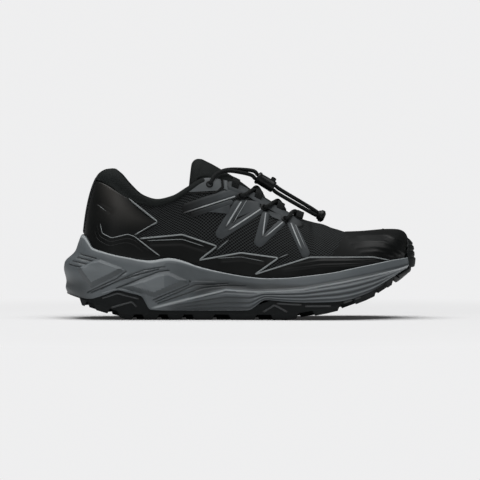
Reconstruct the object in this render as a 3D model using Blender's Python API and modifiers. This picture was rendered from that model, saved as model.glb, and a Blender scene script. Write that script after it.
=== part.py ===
"""Trail running shoe for the right foot, built as separate pieces on one last.

Metres, +Z up, +X to the toe, -Y to the outer (lateral) side. The origin is under the middle of the
shoe, on the floor. Tables are in millimetres.
"""
import math

import bmesh
import bpy
import numpy as np
from mathutils import Vector
from mathutils.bvhtree import BVHTree

MM = 0.001

# Driving sizes, in millimetres
LENGTH = 290.0
HEEL_X = -LENGTH / 2
TOE_X = LENGTH / 2
BUMPER_WALL = 3.0
GAP = 0.3
RIM_WALL = 2.0
UPPER_WALL = 2.2
LUG_HEIGHT = 4.5
INSOLE_THICKNESS = 3.5
INSOLE_TAPER = 0.5
OVERLAY_GAP = 0.35
OVERLAY_WALL = 1.0
LACE_DIAMETER = 3.2
TOE_SWING = 6.0
TOE_SWING_START = 30.0

# Sole outline in plan
HEEL_ROUND = 46.0
TOE_ROUND = 62.0
END_POWER = 2.25
SOLE_TOE_X = TOE_X - BUMPER_WALL - GAP

# Places of the sole's sections: counts at the heel's round, the pods, the forefoot and the toe's round
HEEL_TURN = 0.55 * HEEL_ROUND
TOE_TURN = 0.6 * TOE_ROUND
PODS_END_X = -32.0
HEEL_STATIONS = 7
POD_STATIONS = 14
FOREFOOT_STATIONS = 13
TOE_STATIONS = 8

# Looks of the pieces: colour and roughness
RUBBER = ((0.012, 0.013, 0.013), 0.6)
FOAM = ((0.10, 0.115, 0.125), 0.55)
MESH = ((0.010, 0.011, 0.011), 0.8)
SOCK = ((0.02, 0.02, 0.02), 0.9)
PADDING = ((0.012, 0.013, 0.013), 0.75)
FILM = ((0.012, 0.013, 0.013), 0.25)
STRAP = ((0.07, 0.078, 0.082), 0.45)
BRAID = ((0.009, 0.009, 0.009), 0.7)
PLASTIC = ((0.012, 0.012, 0.012), 0.35)
SHARP_ANGLE = math.radians(35)


class Table:
    """Rows of sizes with named columns, read between the rows along a smooth monotone curve."""

    def __init__(self, columns, rows):
        data = np.array(rows, dtype=float)
        self.keys = data[:, 0]
        self.values = {name: data[:, i] for i, name in enumerate(columns.split())}

    def at(self, column, key):
        keys, values = self.keys, self.values[column]
        steps = np.diff(values) / np.diff(keys)
        slopes = np.zeros_like(values)
        slopes[0], slopes[-1] = steps[0], steps[-1]
        same_way = steps[:-1] * steps[1:] > 0
        sums = np.where(same_way, steps[:-1] + steps[1:], 1)
        slopes[1:-1] = np.where(same_way, 2 * steps[:-1] * steps[1:] / sums, 0)
        key = np.clip(key, keys[0], keys[-1])
        i = np.clip(np.searchsorted(keys, key) - 1, 0, len(keys) - 2)
        width = keys[i + 1] - keys[i]
        t = (key - keys[i]) / width
        start = (1 + 2 * t) * (1 - t) ** 2 * values[i] + t * (1 - t) ** 2 * width * slopes[i]
        end = t * t * (3 - 2 * t) * values[i + 1] + t * t * (t - 1) * width * slopes[i + 1]
        return start + end


# Half widths of the sole at its widest line, before the ends are rounded
SOLE_WIDTHS = Table("x lateral medial", [
    (-145, 43, 43),
    (-100, 44, 44),
    (-60, 44, 41),
    (-20, 45, 36),
    (15, 49, 38),
    (50, 53, 46),
    (80, 54, 52),
    (110, 50, 53),
    (145, 44, 48),
])

# Heights along the sole: floor line, foam bottom edge, side ridge, rim top and footbed
SOLE_HEIGHTS = Table("x floor foam ridge rim foot", [
    (-145, 16.5, 21.0, 36.0, 69.0, 49.0),
    (-136, 14.0, 18.5, 34.0, 68.0, 48.0),
    (-130, 12.0, 17.5, 33.0, 64.0, 47.0),
    (-124, 9.8, 17.0, 32.0, 58.5, 46.0),
    (-110, 5.8, 20.5, 33.0, 54.8, 44.5),
    (-99, 2.6, 23.9, 33.0, 52.2, 43.3),
    (-90, 0, 22.0, 31.0, 50.6, 42.0),
    (-80, 0, 19.0, 26.0, 48.8, 41.0),
    (-73, 0, 8.4, 15.0, 48.4, 40.2),
    (-58, 0, 7.6, 15.6, 50.3, 39.0),
    (-30, 0, 7.6, 21.6, 42.4, 34.6),
    (-11, 0, 7.6, 25.4, 38.0, 31.0),
    (6, 0, 7.8, 23.9, 35.2, 28.6),
    (21, 0, 16.4, 23.8, 33.9, 27.4),
    (36, 0, 15.2, 24.4, 34.2, 27.4),
    (52, 2.2, 14.5, 26.0, 35.7, 28.8),
    (76, 6.6, 14.9, 30.0, 38.7, 31.8),
    (88, 10.6, 16.4, 32.6, 41.0, 34.2),
    (108, 18.2, 22.6, 36.6, 44.8, 38.2),
    (128, 30.2, 34.0, 41.4, 48.6, 42.4),
    (145, 39.0, 42.6, 45.6, 51.0, 45.4),
])

# How far the side of the foam lies inside the widest line, from its bottom edge to its rim
SIDE_INSETS = Table("level heel side toe", [
    (0.00, 3.2, 3.0, 4.0),
    (0.10, 1.6, 1.4, 2.4),
    (0.20, 2.2, 0.4, 1.2),
    (0.42, 0.2, 0.0, 0.4),
    (0.52, 0.8, 0.8, 0.0),
    (0.72, 9.6, 2.4, 0.0),
    (0.88, 12.4, 3.4, 0.0),
    (1.00, 14.6, 4.4, 0.2),
])
RIBS_BELOW_RIDGE = 3
RIB_STEP = 0.9
RIB_START_X = -60.0
RIB_FADE = 30.0
RIDGE_ROWS = 2 * RIBS_BELOW_RIDGE
WALL_ROWS = 6

# Raised pods on the heel half of the side: corners in x and z
POD_HEIGHT = 2.8
POD_BEVEL = 2.4
PODS = [
    [(-131, 42), (-124, 46.5), (-115, 48.5), (-98, 42.5), (-95, 40.5), (-120, 31)],
    [(-95, 26.5), (-62, 38.2), (-43, 32), (-69, 19.8)],
]

# Sections of the upper, by the share of the feather line from the heel to the toe
UPPER_SECTIONS = Table("share x half height power", [
    (0, -109.5, 0.0, 121.8, 1.90),
    (5, -106.5, 11.5, 121.8, 1.80),
    (10, -100.0, 21.5, 118.4, 1.60),
    (15, -91.5, 27.5, 109.6, 1.50),
    (20, -81.0, 31.0, 100.4, 1.45),
    (25, -68.5, 31.5, 96.6, 1.45),
    (30, -55.0, 29.5, 99.4, 1.45),
    (35, -41.5, 25.5, 107.6, 1.45),
    (40, -27.0, 21.5, 115.2, 1.50),
    (45, -11.0, 18.5, 113.0, 1.50),
    (50, 5.0, 17.0, 105.6, 1.55),
    (55, 21.0, 15.5, 97.2, 1.60),
    (60, 37.0, 14.0, 88.6, 1.70),
    (63.5, 48.5, 12.5, 82.8, 1.85),
    (66, 56.0, 8.0, 80.2, 1.95),
    (67.5, 59.0, 0.0, 79.6, 2.00),
    (72, 66.0, 0.0, 78.0, 2.10),
    (77, 76.0, 0.0, 74.0, 2.25),
    (82, 86.0, 0.0, 70.9, 2.45),
    (88, 99.0, 0.0, 71.3, 2.80),
    (94, 110.0, 0.0, 72.2, 3.60),
    (100, 119.0, 0.0, 73.0, 5.00),
])
UPPER_ROWS = 6
PROFILE_STEPS = 90
WELD = 0.01


def clear_scene():
    for item in list(bpy.data.objects):
        bpy.data.objects.remove(item, do_unlink=True)


def collection(name):
    group = bpy.data.collections.new(name)
    bpy.context.scene.collection.children.link(group)
    return group


def finish(name, look):
    colour, roughness = look
    material = bpy.data.materials.new(name + "_finish")
    material.use_nodes = True
    shader = material.node_tree.nodes["Principled BSDF"]
    shader.inputs["Base Color"].default_value = (*colour, 1.0)
    shader.inputs["Roughness"].default_value = roughness
    shader.inputs["Metallic"].default_value = 0.0
    return material


def add_object(name, bm, look, group):
    """Turn a bmesh in millimetres into an object of the group, in metres."""
    bmesh.ops.scale(bm, vec=(MM, MM, MM), verts=bm.verts)
    mesh = bpy.data.meshes.new(name)
    bm.to_mesh(mesh)
    bm.free()
    mesh.shade_smooth()
    mesh.set_sharp_from_angle(angle=SHARP_ANGLE)
    mesh.materials.append(finish(name, look))
    thing = bpy.data.objects.new(name, mesh)
    group.objects.link(thing)
    return thing


def add_cutter(name, bm, group):
    thing = add_object(name, bm, FOAM, group)
    thing.hide_render = True
    thing.display_type = "WIRE"
    return thing


def sole_stations():
    """Places along the shoe: close at both round ends and over the pods, wider at the forefoot."""
    heel_turn = HEEL_X + HEEL_TURN * (1 - np.cos(np.linspace(0, math.pi / 2, HEEL_STATIONS)))
    toe_turn = SOLE_TOE_X - TOE_TURN * (1 - np.cos(np.linspace(math.pi / 2, 0, TOE_STATIONS)))
    pods = np.linspace(heel_turn[-1], PODS_END_X, POD_STATIONS)
    forefoot = np.linspace(PODS_END_X, toe_turn[0], FOREFOOT_STATIONS)
    return np.concatenate([heel_turn, pods[1:], forefoot[1:], toe_turn[1:]])


STATIONS = sole_stations()
LAST = len(STATIONS) - 1


def centre_line(x):
    swing = np.clip((x - TOE_SWING_START) / (TOE_X - TOE_SWING_START), 0, 1)
    return TOE_SWING * swing * swing


def end_round(distance, radius):
    share = np.clip(distance / radius, 0, 1)
    return (1 - (1 - share) ** END_POWER) ** (1 / END_POWER)


def edge_of_sole(x, side):
    """Widest line of the sole in plan, on the lateral (-1) or the medial (+1) side."""
    width = SOLE_WIDTHS.at("lateral" if side < 0 else "medial", x)
    width = width * end_round(x - HEEL_X, HEEL_ROUND) * end_round(SOLE_TOE_X - x, TOE_ROUND)
    return centre_line(x) + side * width


def ring_of_edge():
    """The widest line as a ring: lateral toe to heel, then medial heel to toe."""
    lateral = [(x, edge_of_sole(x, -1)) for x in STATIONS[::-1]]
    medial = [(x, edge_of_sole(x, 1)) for x in STATIONS[1:-1]]
    return np.array(lateral + medial)


EDGE = ring_of_edge()
COUNT = len(EDGE)
HEEL_COLUMN = LAST


def edge_normals():
    ahead = np.roll(EDGE, -1, axis=0) - EDGE
    behind = EDGE - np.roll(EDGE, 1, axis=0)
    ahead /= np.linalg.norm(ahead, axis=1)[:, None]
    behind /= np.linalg.norm(behind, axis=1)[:, None]
    along = ahead + behind
    along /= np.linalg.norm(along, axis=1)[:, None]
    return np.stack([along[:, 1], -along[:, 0]], axis=1)


NORMALS = edge_normals()
NORMALS = NORMALS * -np.sign(NORMALS[HEEL_COLUMN, 0])


def inset_ring(inset):
    """The edge ring moved inward by one inset, or by one for each column."""
    return EDGE - NORMALS * np.broadcast_to(inset, (COUNT,))[:, None]


def end_share(near, radius):
    """One at the tip of an end of the sole, falling to nothing at the start of its round."""
    return np.clip(1 - np.abs(EDGE[:, 0] - near) / radius, 0, 1) ** 2


AT_HEEL = end_share(HEEL_X, HEEL_ROUND)
AT_TOE = end_share(SOLE_TOE_X, TOE_ROUND)


def side_inset(level):
    """Inset of every column at its own level, from 0 at the foam's bottom edge to 1 at the rim."""
    side = SIDE_INSETS.at("side", level)
    heel = SIDE_INSETS.at("heel", level)
    toe = SIDE_INSETS.at("toe", level)
    return side + AT_HEEL * (heel - side) + AT_TOE * (toe - side)


RIM_INSET = side_inset(np.ones(COUNT))
FEATHER_INSET = RIM_INSET + RIM_WALL + GAP
FEATHER = inset_ring(FEATHER_INSET)


def inside_distance(corners, x, z):
    """Distance of a point to the edges of a convex outline, above nothing when it is inside."""
    points = np.array(corners, dtype=float)
    following = np.roll(points, -1, axis=0)
    turn = np.sum(points[:, 0] * following[:, 1] - following[:, 0] * points[:, 1])
    nearest = np.full(np.shape(x), np.inf)
    for start, end in zip(points, following):
        run = (end - start) / np.linalg.norm(end - start)
        distance = (run[0] * (z - start[1]) - run[1] * (x - start[0])) * np.sign(turn)
        nearest = np.minimum(nearest, distance)
    return nearest


def pod_rise(x, z):
    rise = np.zeros(np.shape(x))
    for corners in PODS:
        rise = np.maximum(rise, np.clip(inside_distance(corners, x, z) / POD_BEVEL, 0, 1))
    return POD_HEIGHT * rise


def midsole_rows():
    """Rings of the foam's side, from the bottom edge over the ribs and the ridge to the rim."""
    foam = SOLE_HEIGHTS.at("foam", EDGE[:, 0])
    ridge = SOLE_HEIGHTS.at("ridge", EDGE[:, 0])
    rim = SOLE_HEIGHTS.at("rim", EDGE[:, 0])
    heights = [foam + (ridge - foam) * i / RIDGE_ROWS for i in range(RIDGE_ROWS + 1)]
    heights += [ridge + (rim - ridge) * i / WALL_ROWS for i in range(1, WALL_ROWS + 1)]
    rows = []
    for number, height in enumerate(heights):
        level = (height - foam) / (rim - foam)
        inset = side_inset(level) - pod_rise(EDGE[:, 0], height)
        if 0 < number < RIDGE_ROWS:
            forefoot = np.clip((EDGE[:, 0] - RIB_START_X) / RIB_FADE, 0, 1)
            inset = inset + RIB_STEP * forefoot * (number % 2)
        rows.append(np.column_stack([inset_ring(inset), height]))
    return rows


def ring_at(inset, column, rise=0.0):
    """One ring at the given inset, at the heights of a column of the sole's table."""
    flat = inset_ring(inset)
    return np.column_stack([flat, SOLE_HEIGHTS.at(column, EDGE[:, 0]) + rise])


def add_ring(bm, points):
    return [bm.verts.new(point) for point in points]


def bridge(bm, lower, upper):
    for i in range(len(lower)):
        j = (i + 1) % len(lower)
        bm.faces.new((lower[i], lower[j], upper[j], upper[i]))


def close_across(bm, ring, across=0):
    """Close a ring with strips from the lateral to the medial side, with points set across them."""
    strips = [[ring[0]]]
    for i in range(1, LAST):
        lateral, medial = ring[i], ring[COUNT - i]
        steps = [k / (across + 1) for k in range(1, across + 1)]
        between = [bm.verts.new(lateral.co.lerp(medial.co, step)) for step in steps]
        strips.append([lateral] + between + [medial])
    strips.append([ring[LAST]])
    faces = []
    for first, second in zip(strips, strips[1:]):
        faces += strip_faces(bm, first, second)
    return faces


def strip_faces(bm, first, second):
    if len(first) == 1:
        return [bm.faces.new((first[0], a, b)) for a, b in zip(second, second[1:])]
    if len(second) == 1:
        return [bm.faces.new((a, second[0], b)) for a, b in zip(first, first[1:])]
    pairs = zip(first, first[1:], second, second[1:])
    return [bm.faces.new((a, c, d, b)) for a, b, c, d in pairs]


def face_out(bm):
    bmesh.ops.recalc_face_normals(bm, faces=bm.faces)
    if bm.calc_volume(signed=True) < 0:
        bmesh.ops.reverse_faces(bm, faces=bm.faces)


def build_midsole(group, look):
    bm = bmesh.new()
    rings = [add_ring(bm, row) for row in midsole_rows()]
    rim = RIM_INSET + RIM_WALL
    rings.append(add_ring(bm, ring_at(rim, "rim")))
    rings.append(add_ring(bm, ring_at(rim, "foot")))
    for lower, upper in zip(rings, rings[1:]):
        bridge(bm, lower, upper)
    close_across(bm, rings[0])
    close_across(bm, rings[-1])
    face_out(bm)
    return add_object("midsole", bm, look, group)


def build_insole(group, look):
    bm = bmesh.new()
    inset = FEATHER_INSET + UPPER_WALL + 2 * GAP
    low = add_ring(bm, ring_at(inset, "foot", GAP))
    high = add_ring(bm, ring_at(inset + INSOLE_TAPER, "foot", GAP + INSOLE_THICKNESS))
    bridge(bm, low, high)
    close_across(bm, low)
    close_across(bm, high)
    face_out(bm)
    return add_object("insole", bm, look, group)


# Outsole: rows of lugs across it, stations to a lug and its gap, and stations left bare at both ends
LUGS_ACROSS = 5
LUG_PITCH = 3
LUG_TAPER = 2.0
BARE_AT_HEEL = 4
BARE_AT_TOE = 5
OUTSOLE_INSET = 2.4
OUTSOLE_TAPER = 0.6


def build_outsole(group, look):
    """Rubber under the foam: a base whose top follows the foam, with lugs drawn down from it."""
    bm = bmesh.new()
    top = add_ring(bm, ring_at(OUTSOLE_INSET + OUTSOLE_TAPER, "foam", -GAP))
    low = add_ring(bm, ring_at(OUTSOLE_INSET, "floor", LUG_HEIGHT))
    bridge(bm, low, top)
    close_across(bm, top)
    tread = close_across(bm, low, LUGS_ACROSS - 1)
    face_out(bm)
    draw_lugs(bm, tread)
    return add_object("outsole", bm, look, group)


def draw_lugs(bm, tread):
    """Blocks of the tread go down to the floor line, with a gap of one station after each."""
    blocks = {}
    for face in tread:
        middle = face.calc_center_median()
        station = int(np.searchsorted(STATIONS, middle.x)) - 1
        lateral, medial = edge_of_sole(middle.x, -1), edge_of_sole(middle.x, 1)
        share = (middle.y - lateral) / (medial - lateral)
        row = min(int(share * LUGS_ACROSS), LUGS_ACROSS - 1)
        shift = station + (row % 2)
        inside = BARE_AT_HEEL <= station <= LAST - BARE_AT_TOE
        if inside and shift % LUG_PITCH != LUG_PITCH - 1:
            blocks.setdefault((shift // LUG_PITCH, row), []).append(face)
    for faces in blocks.values():
        bmesh.ops.inset_region(bm, faces=faces, thickness=LUG_TAPER, use_even_offset=True)
        for vert in {v for face in faces for v in face.verts}:
            vert.co.z = float(SOLE_HEIGHTS.at("floor", vert.co.x))


def feather_shares():
    """Share of the feather line from heel to toe at every station, in percent, for both sides."""
    steps = np.linalg.norm(np.diff(np.vstack([FEATHER, FEATHER[:1]]), axis=0), axis=1)
    lateral = np.concatenate([[0], np.cumsum(steps[:LAST][::-1])])
    medial = np.concatenate([[0], np.cumsum(steps[LAST:])])
    return 100 * lateral / lateral[-1], 100 * medial / medial[-1]


def profile(bottom, top, power, rows):
    """Points up one section of the upper, evenly spaced on a round that starts upright."""
    angle = np.linspace(0, math.pi / 2, PROFILE_STEPS)
    lean = 1 - np.cos(angle) ** (2 / power)
    rise = np.sin(angle) ** (2 / power)
    points = np.column_stack([
        bottom[0] + (top[0] - bottom[0]) * lean,
        bottom[1] + (top[1] - bottom[1]) * lean,
        bottom[2] + (top[2] - bottom[2]) * rise,
    ])
    length = np.concatenate([[0], np.cumsum(np.linalg.norm(np.diff(points, axis=0), axis=1))])
    even = np.linspace(0, length[-1], rows + 1)
    return np.column_stack([np.interp(even, length, points[:, k]) for k in range(3)])


def upper_grid(rows):
    """Sections of the upper from the lateral toe round the heel to the medial toe."""
    lateral, medial = feather_shares()
    sections = [(COUNT if i == LAST else LAST - i, -1, lateral[i]) for i in range(LAST, -1, -1)]
    sections += [(LAST + i, 1, medial[i]) for i in range(1, LAST + 1)]
    grid = []
    for column, side, share in sections:
        x, y = FEATHER[column % COUNT]
        bottom = (x, y, float(SOLE_HEIGHTS.at("foot", EDGE[column % COUNT][0])) + GAP)
        top_x = float(UPPER_SECTIONS.at("x", share))
        half = float(UPPER_SECTIONS.at("half", share))
        top = (top_x, centre_line(top_x) + side * half, float(UPPER_SECTIONS.at("height", share)))
        grid.append(profile(bottom, top, float(UPPER_SECTIONS.at("power", share)), rows))
    return np.array(grid)


def surface_of_upper(rows):
    """The outside of the upper as an open mesh, welded at the toe and along the vamp."""
    grid = upper_grid(rows)
    bm = bmesh.new()
    verts = [[bm.verts.new(point) for point in section] for section in grid]
    for here, ahead in zip(verts, verts[1:]):
        for k in range(rows):
            bm.faces.new((here[k], here[k + 1], ahead[k + 1], ahead[k]))
    bmesh.ops.remove_doubles(bm, verts=bm.verts, dist=WELD)
    bmesh.ops.triangulate(bm, faces=bm.faces, quad_method="FIXED")
    return bm


def build_upper(group, look):
    thing = add_object("upper", surface_of_upper(UPPER_ROWS), look, group)
    add_wall(thing, UPPER_WALL, -1)
    return thing


def add_wall(thing, thickness, direction):
    wall = thing.modifiers.new("wall", "SOLIDIFY")
    wall.thickness = thickness * MM
    wall.offset = direction


# Padded cuff: points of its section, as depth below the topline and height off the upper's outside
CUFF_SHARE = 34.0
CUFF_FADE = 10.0
CUFF_DEPTH = Table("share outside", [(0, 12.0), (8, 12.5), (15, 10.0), (21, 5.5), (30, 4.5), (38, 4.5)])
CUFF_SKIN = 1.5
CUFF_LINING = 17.0
CUFF_PAD = 3.6
CUFF_ROLL = 2.2
CUFF_CLEARANCE = 0.5


def upper_frames(rows):
    """The dense grid of the upper with its outward direction and its upward run at each point."""
    grid = upper_grid(rows)
    along = np.gradient(grid, axis=0)
    up = np.gradient(grid, axis=1)
    up /= np.linalg.norm(up, axis=2)[:, :, None]
    out = np.cross(along, up)
    out /= np.linalg.norm(out, axis=2)[:, :, None]
    return grid, -out if out[LAST, rows // 2, 0] > 0 else out, up


class Section:
    """One section of the upper, to place points below its top edge and off its outside."""

    def __init__(self, frames, column):
        grid, out, up = frames
        self.points = grid[column]
        self.out = out[column]
        self.beyond = up[column][-1]
        steps = np.linalg.norm(np.diff(self.points, axis=0), axis=1)
        self.length = np.concatenate([[0], np.cumsum(steps)])

    def outward(self, down):
        at = self.length[-1] - down
        way = np.array([np.interp(at, self.length, self.out[:, k]) for k in range(3)])
        return way / np.linalg.norm(way)

    def place(self, down, off, over=0.0):
        at = self.length[-1] - down
        base = np.array([np.interp(at, self.length, self.points[:, k]) for k in range(3)])
        return base + self.outward(down) * off + self.beyond * over


def cuff_section(section, depth, fill):
    """Closed section of the cuff at one column: skin outside, roll on top, pad inside."""
    pad, roll = CUFF_PAD * fill, CUFF_ROLL * (0.4 + 0.6 * fill)
    inside = -(UPPER_WALL + CUFF_CLEARANCE)
    top_row = section.length[-1] - section.length[-2]
    bend = top_row if top_row < depth else 0.5 * depth
    place = section.place
    return [
        place(depth, OVERLAY_GAP),
        place(depth, OVERLAY_GAP + 0.5 * CUFF_SKIN),
        place(0.6 * depth, OVERLAY_GAP + CUFF_SKIN),
        place(0.0, OVERLAY_GAP + CUFF_SKIN),
        place(0.0, -0.2 * UPPER_WALL, roll),
        place(0.0, inside - 0.5 * pad, roll),
        place(0.25 * CUFF_LINING, inside - pad),
        place(0.65 * CUFF_LINING, inside - 0.8 * pad),
        place(CUFF_LINING, inside - 0.3 * pad),
        place(CUFF_LINING, inside),
        place(0.45 * CUFF_LINING, inside),
        place(0.0, inside, CUFF_CLEARANCE),
        place(0.0, OVERLAY_GAP, CUFF_CLEARANCE),
        place(bend, OVERLAY_GAP),
    ]


def build_cuff(group, look):
    frames = upper_frames(UPPER_ROWS)
    lateral, medial = feather_shares()
    bm = bmesh.new()
    rings = []
    for column in range(2 * LAST + 1):
        share = lateral[LAST - column] if column < LAST else medial[column - LAST]
        if share > CUFF_SHARE:
            continue
        depth = float(CUFF_DEPTH.at("outside", share))
        fill = min((CUFF_SHARE + 2 - share) / CUFF_FADE, 1.0)
        rings.append(add_ring(bm, cuff_section(Section(frames, column), depth, fill)))
    for here, ahead in zip(rings, rings[1:]):
        bridge(bm, here, ahead)
    bm.faces.new(rings[0])
    bm.faces.new(rings[-1])
    face_out(bm)
    return add_object("collar_cuff", bm, look, group)


def prism(name, outline, group, near, far):
    """A cutter: a flat outline in x and z, drawn through from one side of the shoe to the other."""
    bm = bmesh.new()
    face = bm.faces.new([bm.verts.new((x, near, z)) for x, z in outline])
    drawn = bmesh.ops.extrude_face_region(bm, geom=[face])["geom"]
    moved = [part for part in drawn if isinstance(part, bmesh.types.BMVert)]
    bmesh.ops.translate(bm, verts=moved, vec=(0, far - near, 0))
    face_out(bm)
    return add_cutter(name, bm, group)


def build_overlay(name, outline, reach, sides, group, cutters, look, holes=()):
    """A thin skin over the upper, cut to an outline in the side view.

    reach is the stretch of the shoe that the skin covers, and sides the range of y it is cut in.
    """
    bm = surface_of_upper(UPPER_ROWS)
    far = [face for face in bm.faces if not reach[0] < face.calc_center_median().x < reach[1]]
    bmesh.ops.delete(bm, geom=far, context="FACES")
    bm.normal_update()
    for vert in bm.verts:
        vert.co += vert.normal * OVERLAY_GAP
    thing = add_object(name, bm, look, group)
    add_wall(thing, OVERLAY_WALL, 1)
    add_cut(thing, "INTERSECT", prism(name + "_outline", outline, cutters, *sides))
    for number, hole in enumerate(holes, 1):
        add_cut(thing, "DIFFERENCE", prism(f"{name}_hole_{number}", hole, cutters, *sides))
    return thing


def add_cut(thing, operation, cutter):
    cut = thing.modifiers.new(cutter.name, "BOOLEAN")
    cut.operation = operation
    cut.object = cutter


def rim_height(x):
    """Height of the rim in the side view, at its inner or outer edge, whichever is higher."""
    heights = []
    for inset in (RIM_INSET, RIM_INSET + RIM_WALL):
        ring = ring_at(inset, "rim")
        for half in (ring[:LAST + 1][::-1], np.vstack([ring[LAST:], ring[:1]])):
            heights.append(float(np.interp(x, half[:, 0], half[:, 2])))
    return max(heights)


def above_rim(start, end, count):
    """Points just above the rim of the sole, from one place along the shoe to another."""
    return [(x, rim_height(x) + 4 * GAP) for x in np.linspace(start, end, count)]


# Upper edges of the heel counter and the toe cap in the side view, in x and z
COUNTER_TOP = [(-140, 105), (-108, 103.5), (-91, 94.5), (-67, 79.7), (-85.5, 68.4), (-66, 52)]
COUNTER_BACK = (-140, 72)
COUNTER_RIM = (-66, -131, 15)
COUNTER_REACH = (-140, -55)
CAP_TOP = [(14, 39), (56.5, 50.8), (75, 51.4), (90, 66), (96, 90), (160, 90)]
CAP_FRONT = (160, 56)
CAP_RIM = (136, 14, 11)
CAP_REACH = (0, 160)
WIDE = 80.0
BOTH_SIDES = (-WIDE, WIDE)
EYESTAY_REACH = (-60, 75)
THROAT_MIDDLE = 6.0
EYESTAY_SIDES = {"lateral": (-WIDE, -THROAT_MIDDLE), "medial": (THROAT_MIDDLE, WIDE)}

# Lateral eyestay: strip below the throat with two V straps and one single strap, in x and z
EYESTAY_OUTLINE = [
    (-40.5, 104.5), (-33, 114), (-24, 118), (-13, 116), (4, 105.5), (20, 97), (36, 88.5), (46, 82),
    (50.5, 76), (57.5, 53.5), (51.5, 53), (43.5, 75), (36.5, 78.5), (19.5, 60.5), (14.0, 60.5),
    (20.5, 82.5), (16.0, 86.5), (-10.5, 67.0), (-17.0, 67.0), (-2.5, 93.5), (-9, 97), (-44, 85.5),
    (-49, 88.5), (-17, 101), (-22, 104.5),
]
EYESTAY_HOLES = [
    [(0.5, 91.5), (-9.0, 73.5), (11.5, 87.5)],
    [(23.5, 83.0), (19.0, 67.0), (32.0, 79.5)],
]


# Tongue: height of its middle and thickness along the shoe, from its top edge to under the vamp
TONGUE = Table("x height thick", [
    (-33.0, 131.6, 8.0),
    (-28.0, 129.4, 12.0),
    (-20.0, 124.0, 11.0),
    (-11.0, 117.0, 7.0),
    (5.0, 107.0, 4.8),
    (21.0, 98.0, 4.2),
    (37.0, 88.6, 4.0),
    (50.0, 80.6, 3.4),
    (66.0, 73.0, 3.0),
])
# Free end of the tongue above the throat: half width and fall to its edges
TONGUE_TOP = Table("x half fall", [(-33.0, 20.0, 6.0), (-28.0, 21.5, 7.5), (-20.0, 15.0, 5.0)])
TONGUE_SHARES = (44.5, 71.0)
TONGUE_TUCK = 9.0
TONGUE_CLEARANCE = 1.1
TONGUE_EDGE = 0.35
TONGUE_ARCH = (-0.6, -0.25, 0.25, 0.6)
TONGUE_ROUND = (-1, -0.9, -0.75, *TONGUE_ARCH, 0.75, 0.9, 1)


def tongue_out(x):
    """Direction off the tongue's outside, square to its run."""
    rise = float(TONGUE.at("height", x + 1) - TONGUE.at("height", x - 1)) / 2
    out = np.array([-rise, 0.0, 1.0])
    return out / np.linalg.norm(out)


def tongue_free_section(x):
    """Outside points and directions of the tongue where it stands clear of the throat."""
    half, fall = float(TONGUE_TOP.at("half", x)), float(TONGUE_TOP.at("fall", x))
    out = tongue_out(x)
    middle = np.array([x, 0.0, float(TONGUE.at("height", x))])
    points = [middle + np.array([0, share * half, 0]) - out * fall * share ** 2 for share in TONGUE_ROUND]
    return points, [out] * len(points)


def tongue_tucked_section(lateral, medial):
    """Outside points and directions of the tongue between the two edges of the throat."""
    off = -(UPPER_WALL + TONGUE_CLEARANCE)
    tucks = (TONGUE_TUCK, 0.5 * TONGUE_TUCK, 0.0)
    left = [lateral.place(down, off) for down in tucks]
    right = [medial.place(down, off) for down in tucks[::-1]]
    middle_x = 0.5 * (left[-1][0] + right[0][0])
    rise = max(float(TONGUE.at("height", middle_x)) - 0.5 * (left[-1][2] + right[0][2]), 0.0)
    room = min(abs(right[0][1] - left[-1][1]) / TONGUE_TUCK, 1.0)
    out = tongue_out(middle_x)
    arch = []
    for share in TONGUE_ARCH:
        base = left[-1] + (right[0] - left[-1]) * (0.5 + 0.5 * share)
        arch.append(base + np.array([0, 0, rise * room * (1 - share ** 2)]))
    ways = [lateral.outward(down) for down in tucks]
    ways += [out] * len(arch)
    ways += [medial.outward(down) for down in tucks[::-1]]
    return left + arch + right, ways


def build_tongue(group, look):
    frames = upper_frames(UPPER_ROWS)
    shares = feather_shares()[0]
    sections = [tongue_free_section(x) for x in TONGUE_TOP.keys]
    for i in range(LAST + 1):
        if TONGUE_SHARES[0] < shares[i] < TONGUE_SHARES[1]:
            sections.append(tongue_tucked_section(Section(frames, LAST - i), Section(frames, LAST + i)))
    bm = bmesh.new()
    rings = []
    for points, ways in sections:
        middle = 0.5 * (len(points) - 1)
        inside = []
        for k, (point, way) in enumerate(zip(points, ways)):
            edge = abs(k - middle) / middle
            wall = float(TONGUE.at("thick", point[0])) * (1 - (1 - TONGUE_EDGE) * edge ** 3)
            inside.append(point - way * wall)
        rings.append(add_ring(bm, points + inside[::-1]))
    for here, ahead in zip(rings, rings[1:]):
        bridge(bm, here, ahead)
    bm.faces.new(rings[0])
    bm.faces.new(rings[-1])
    face_out(bm)
    return add_object("tongue", bm, look, group)


# Toe bumper: share of its height and how far it stands off the foam
BUMPER_STEPS = Table("share off", [
    (0.00, 1.2), (0.16, 3.0), (0.36, 3.0), (0.42, 2.2), (0.62, 2.6), (0.68, 1.9), (0.90, 1.6), (1.00, 0.9),
])
BUMPER_COLUMNS = 3
BUMPER_RISE = 1.0
BUMPER_TOP = 64.5
BUMPER_END = 53.0


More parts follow.
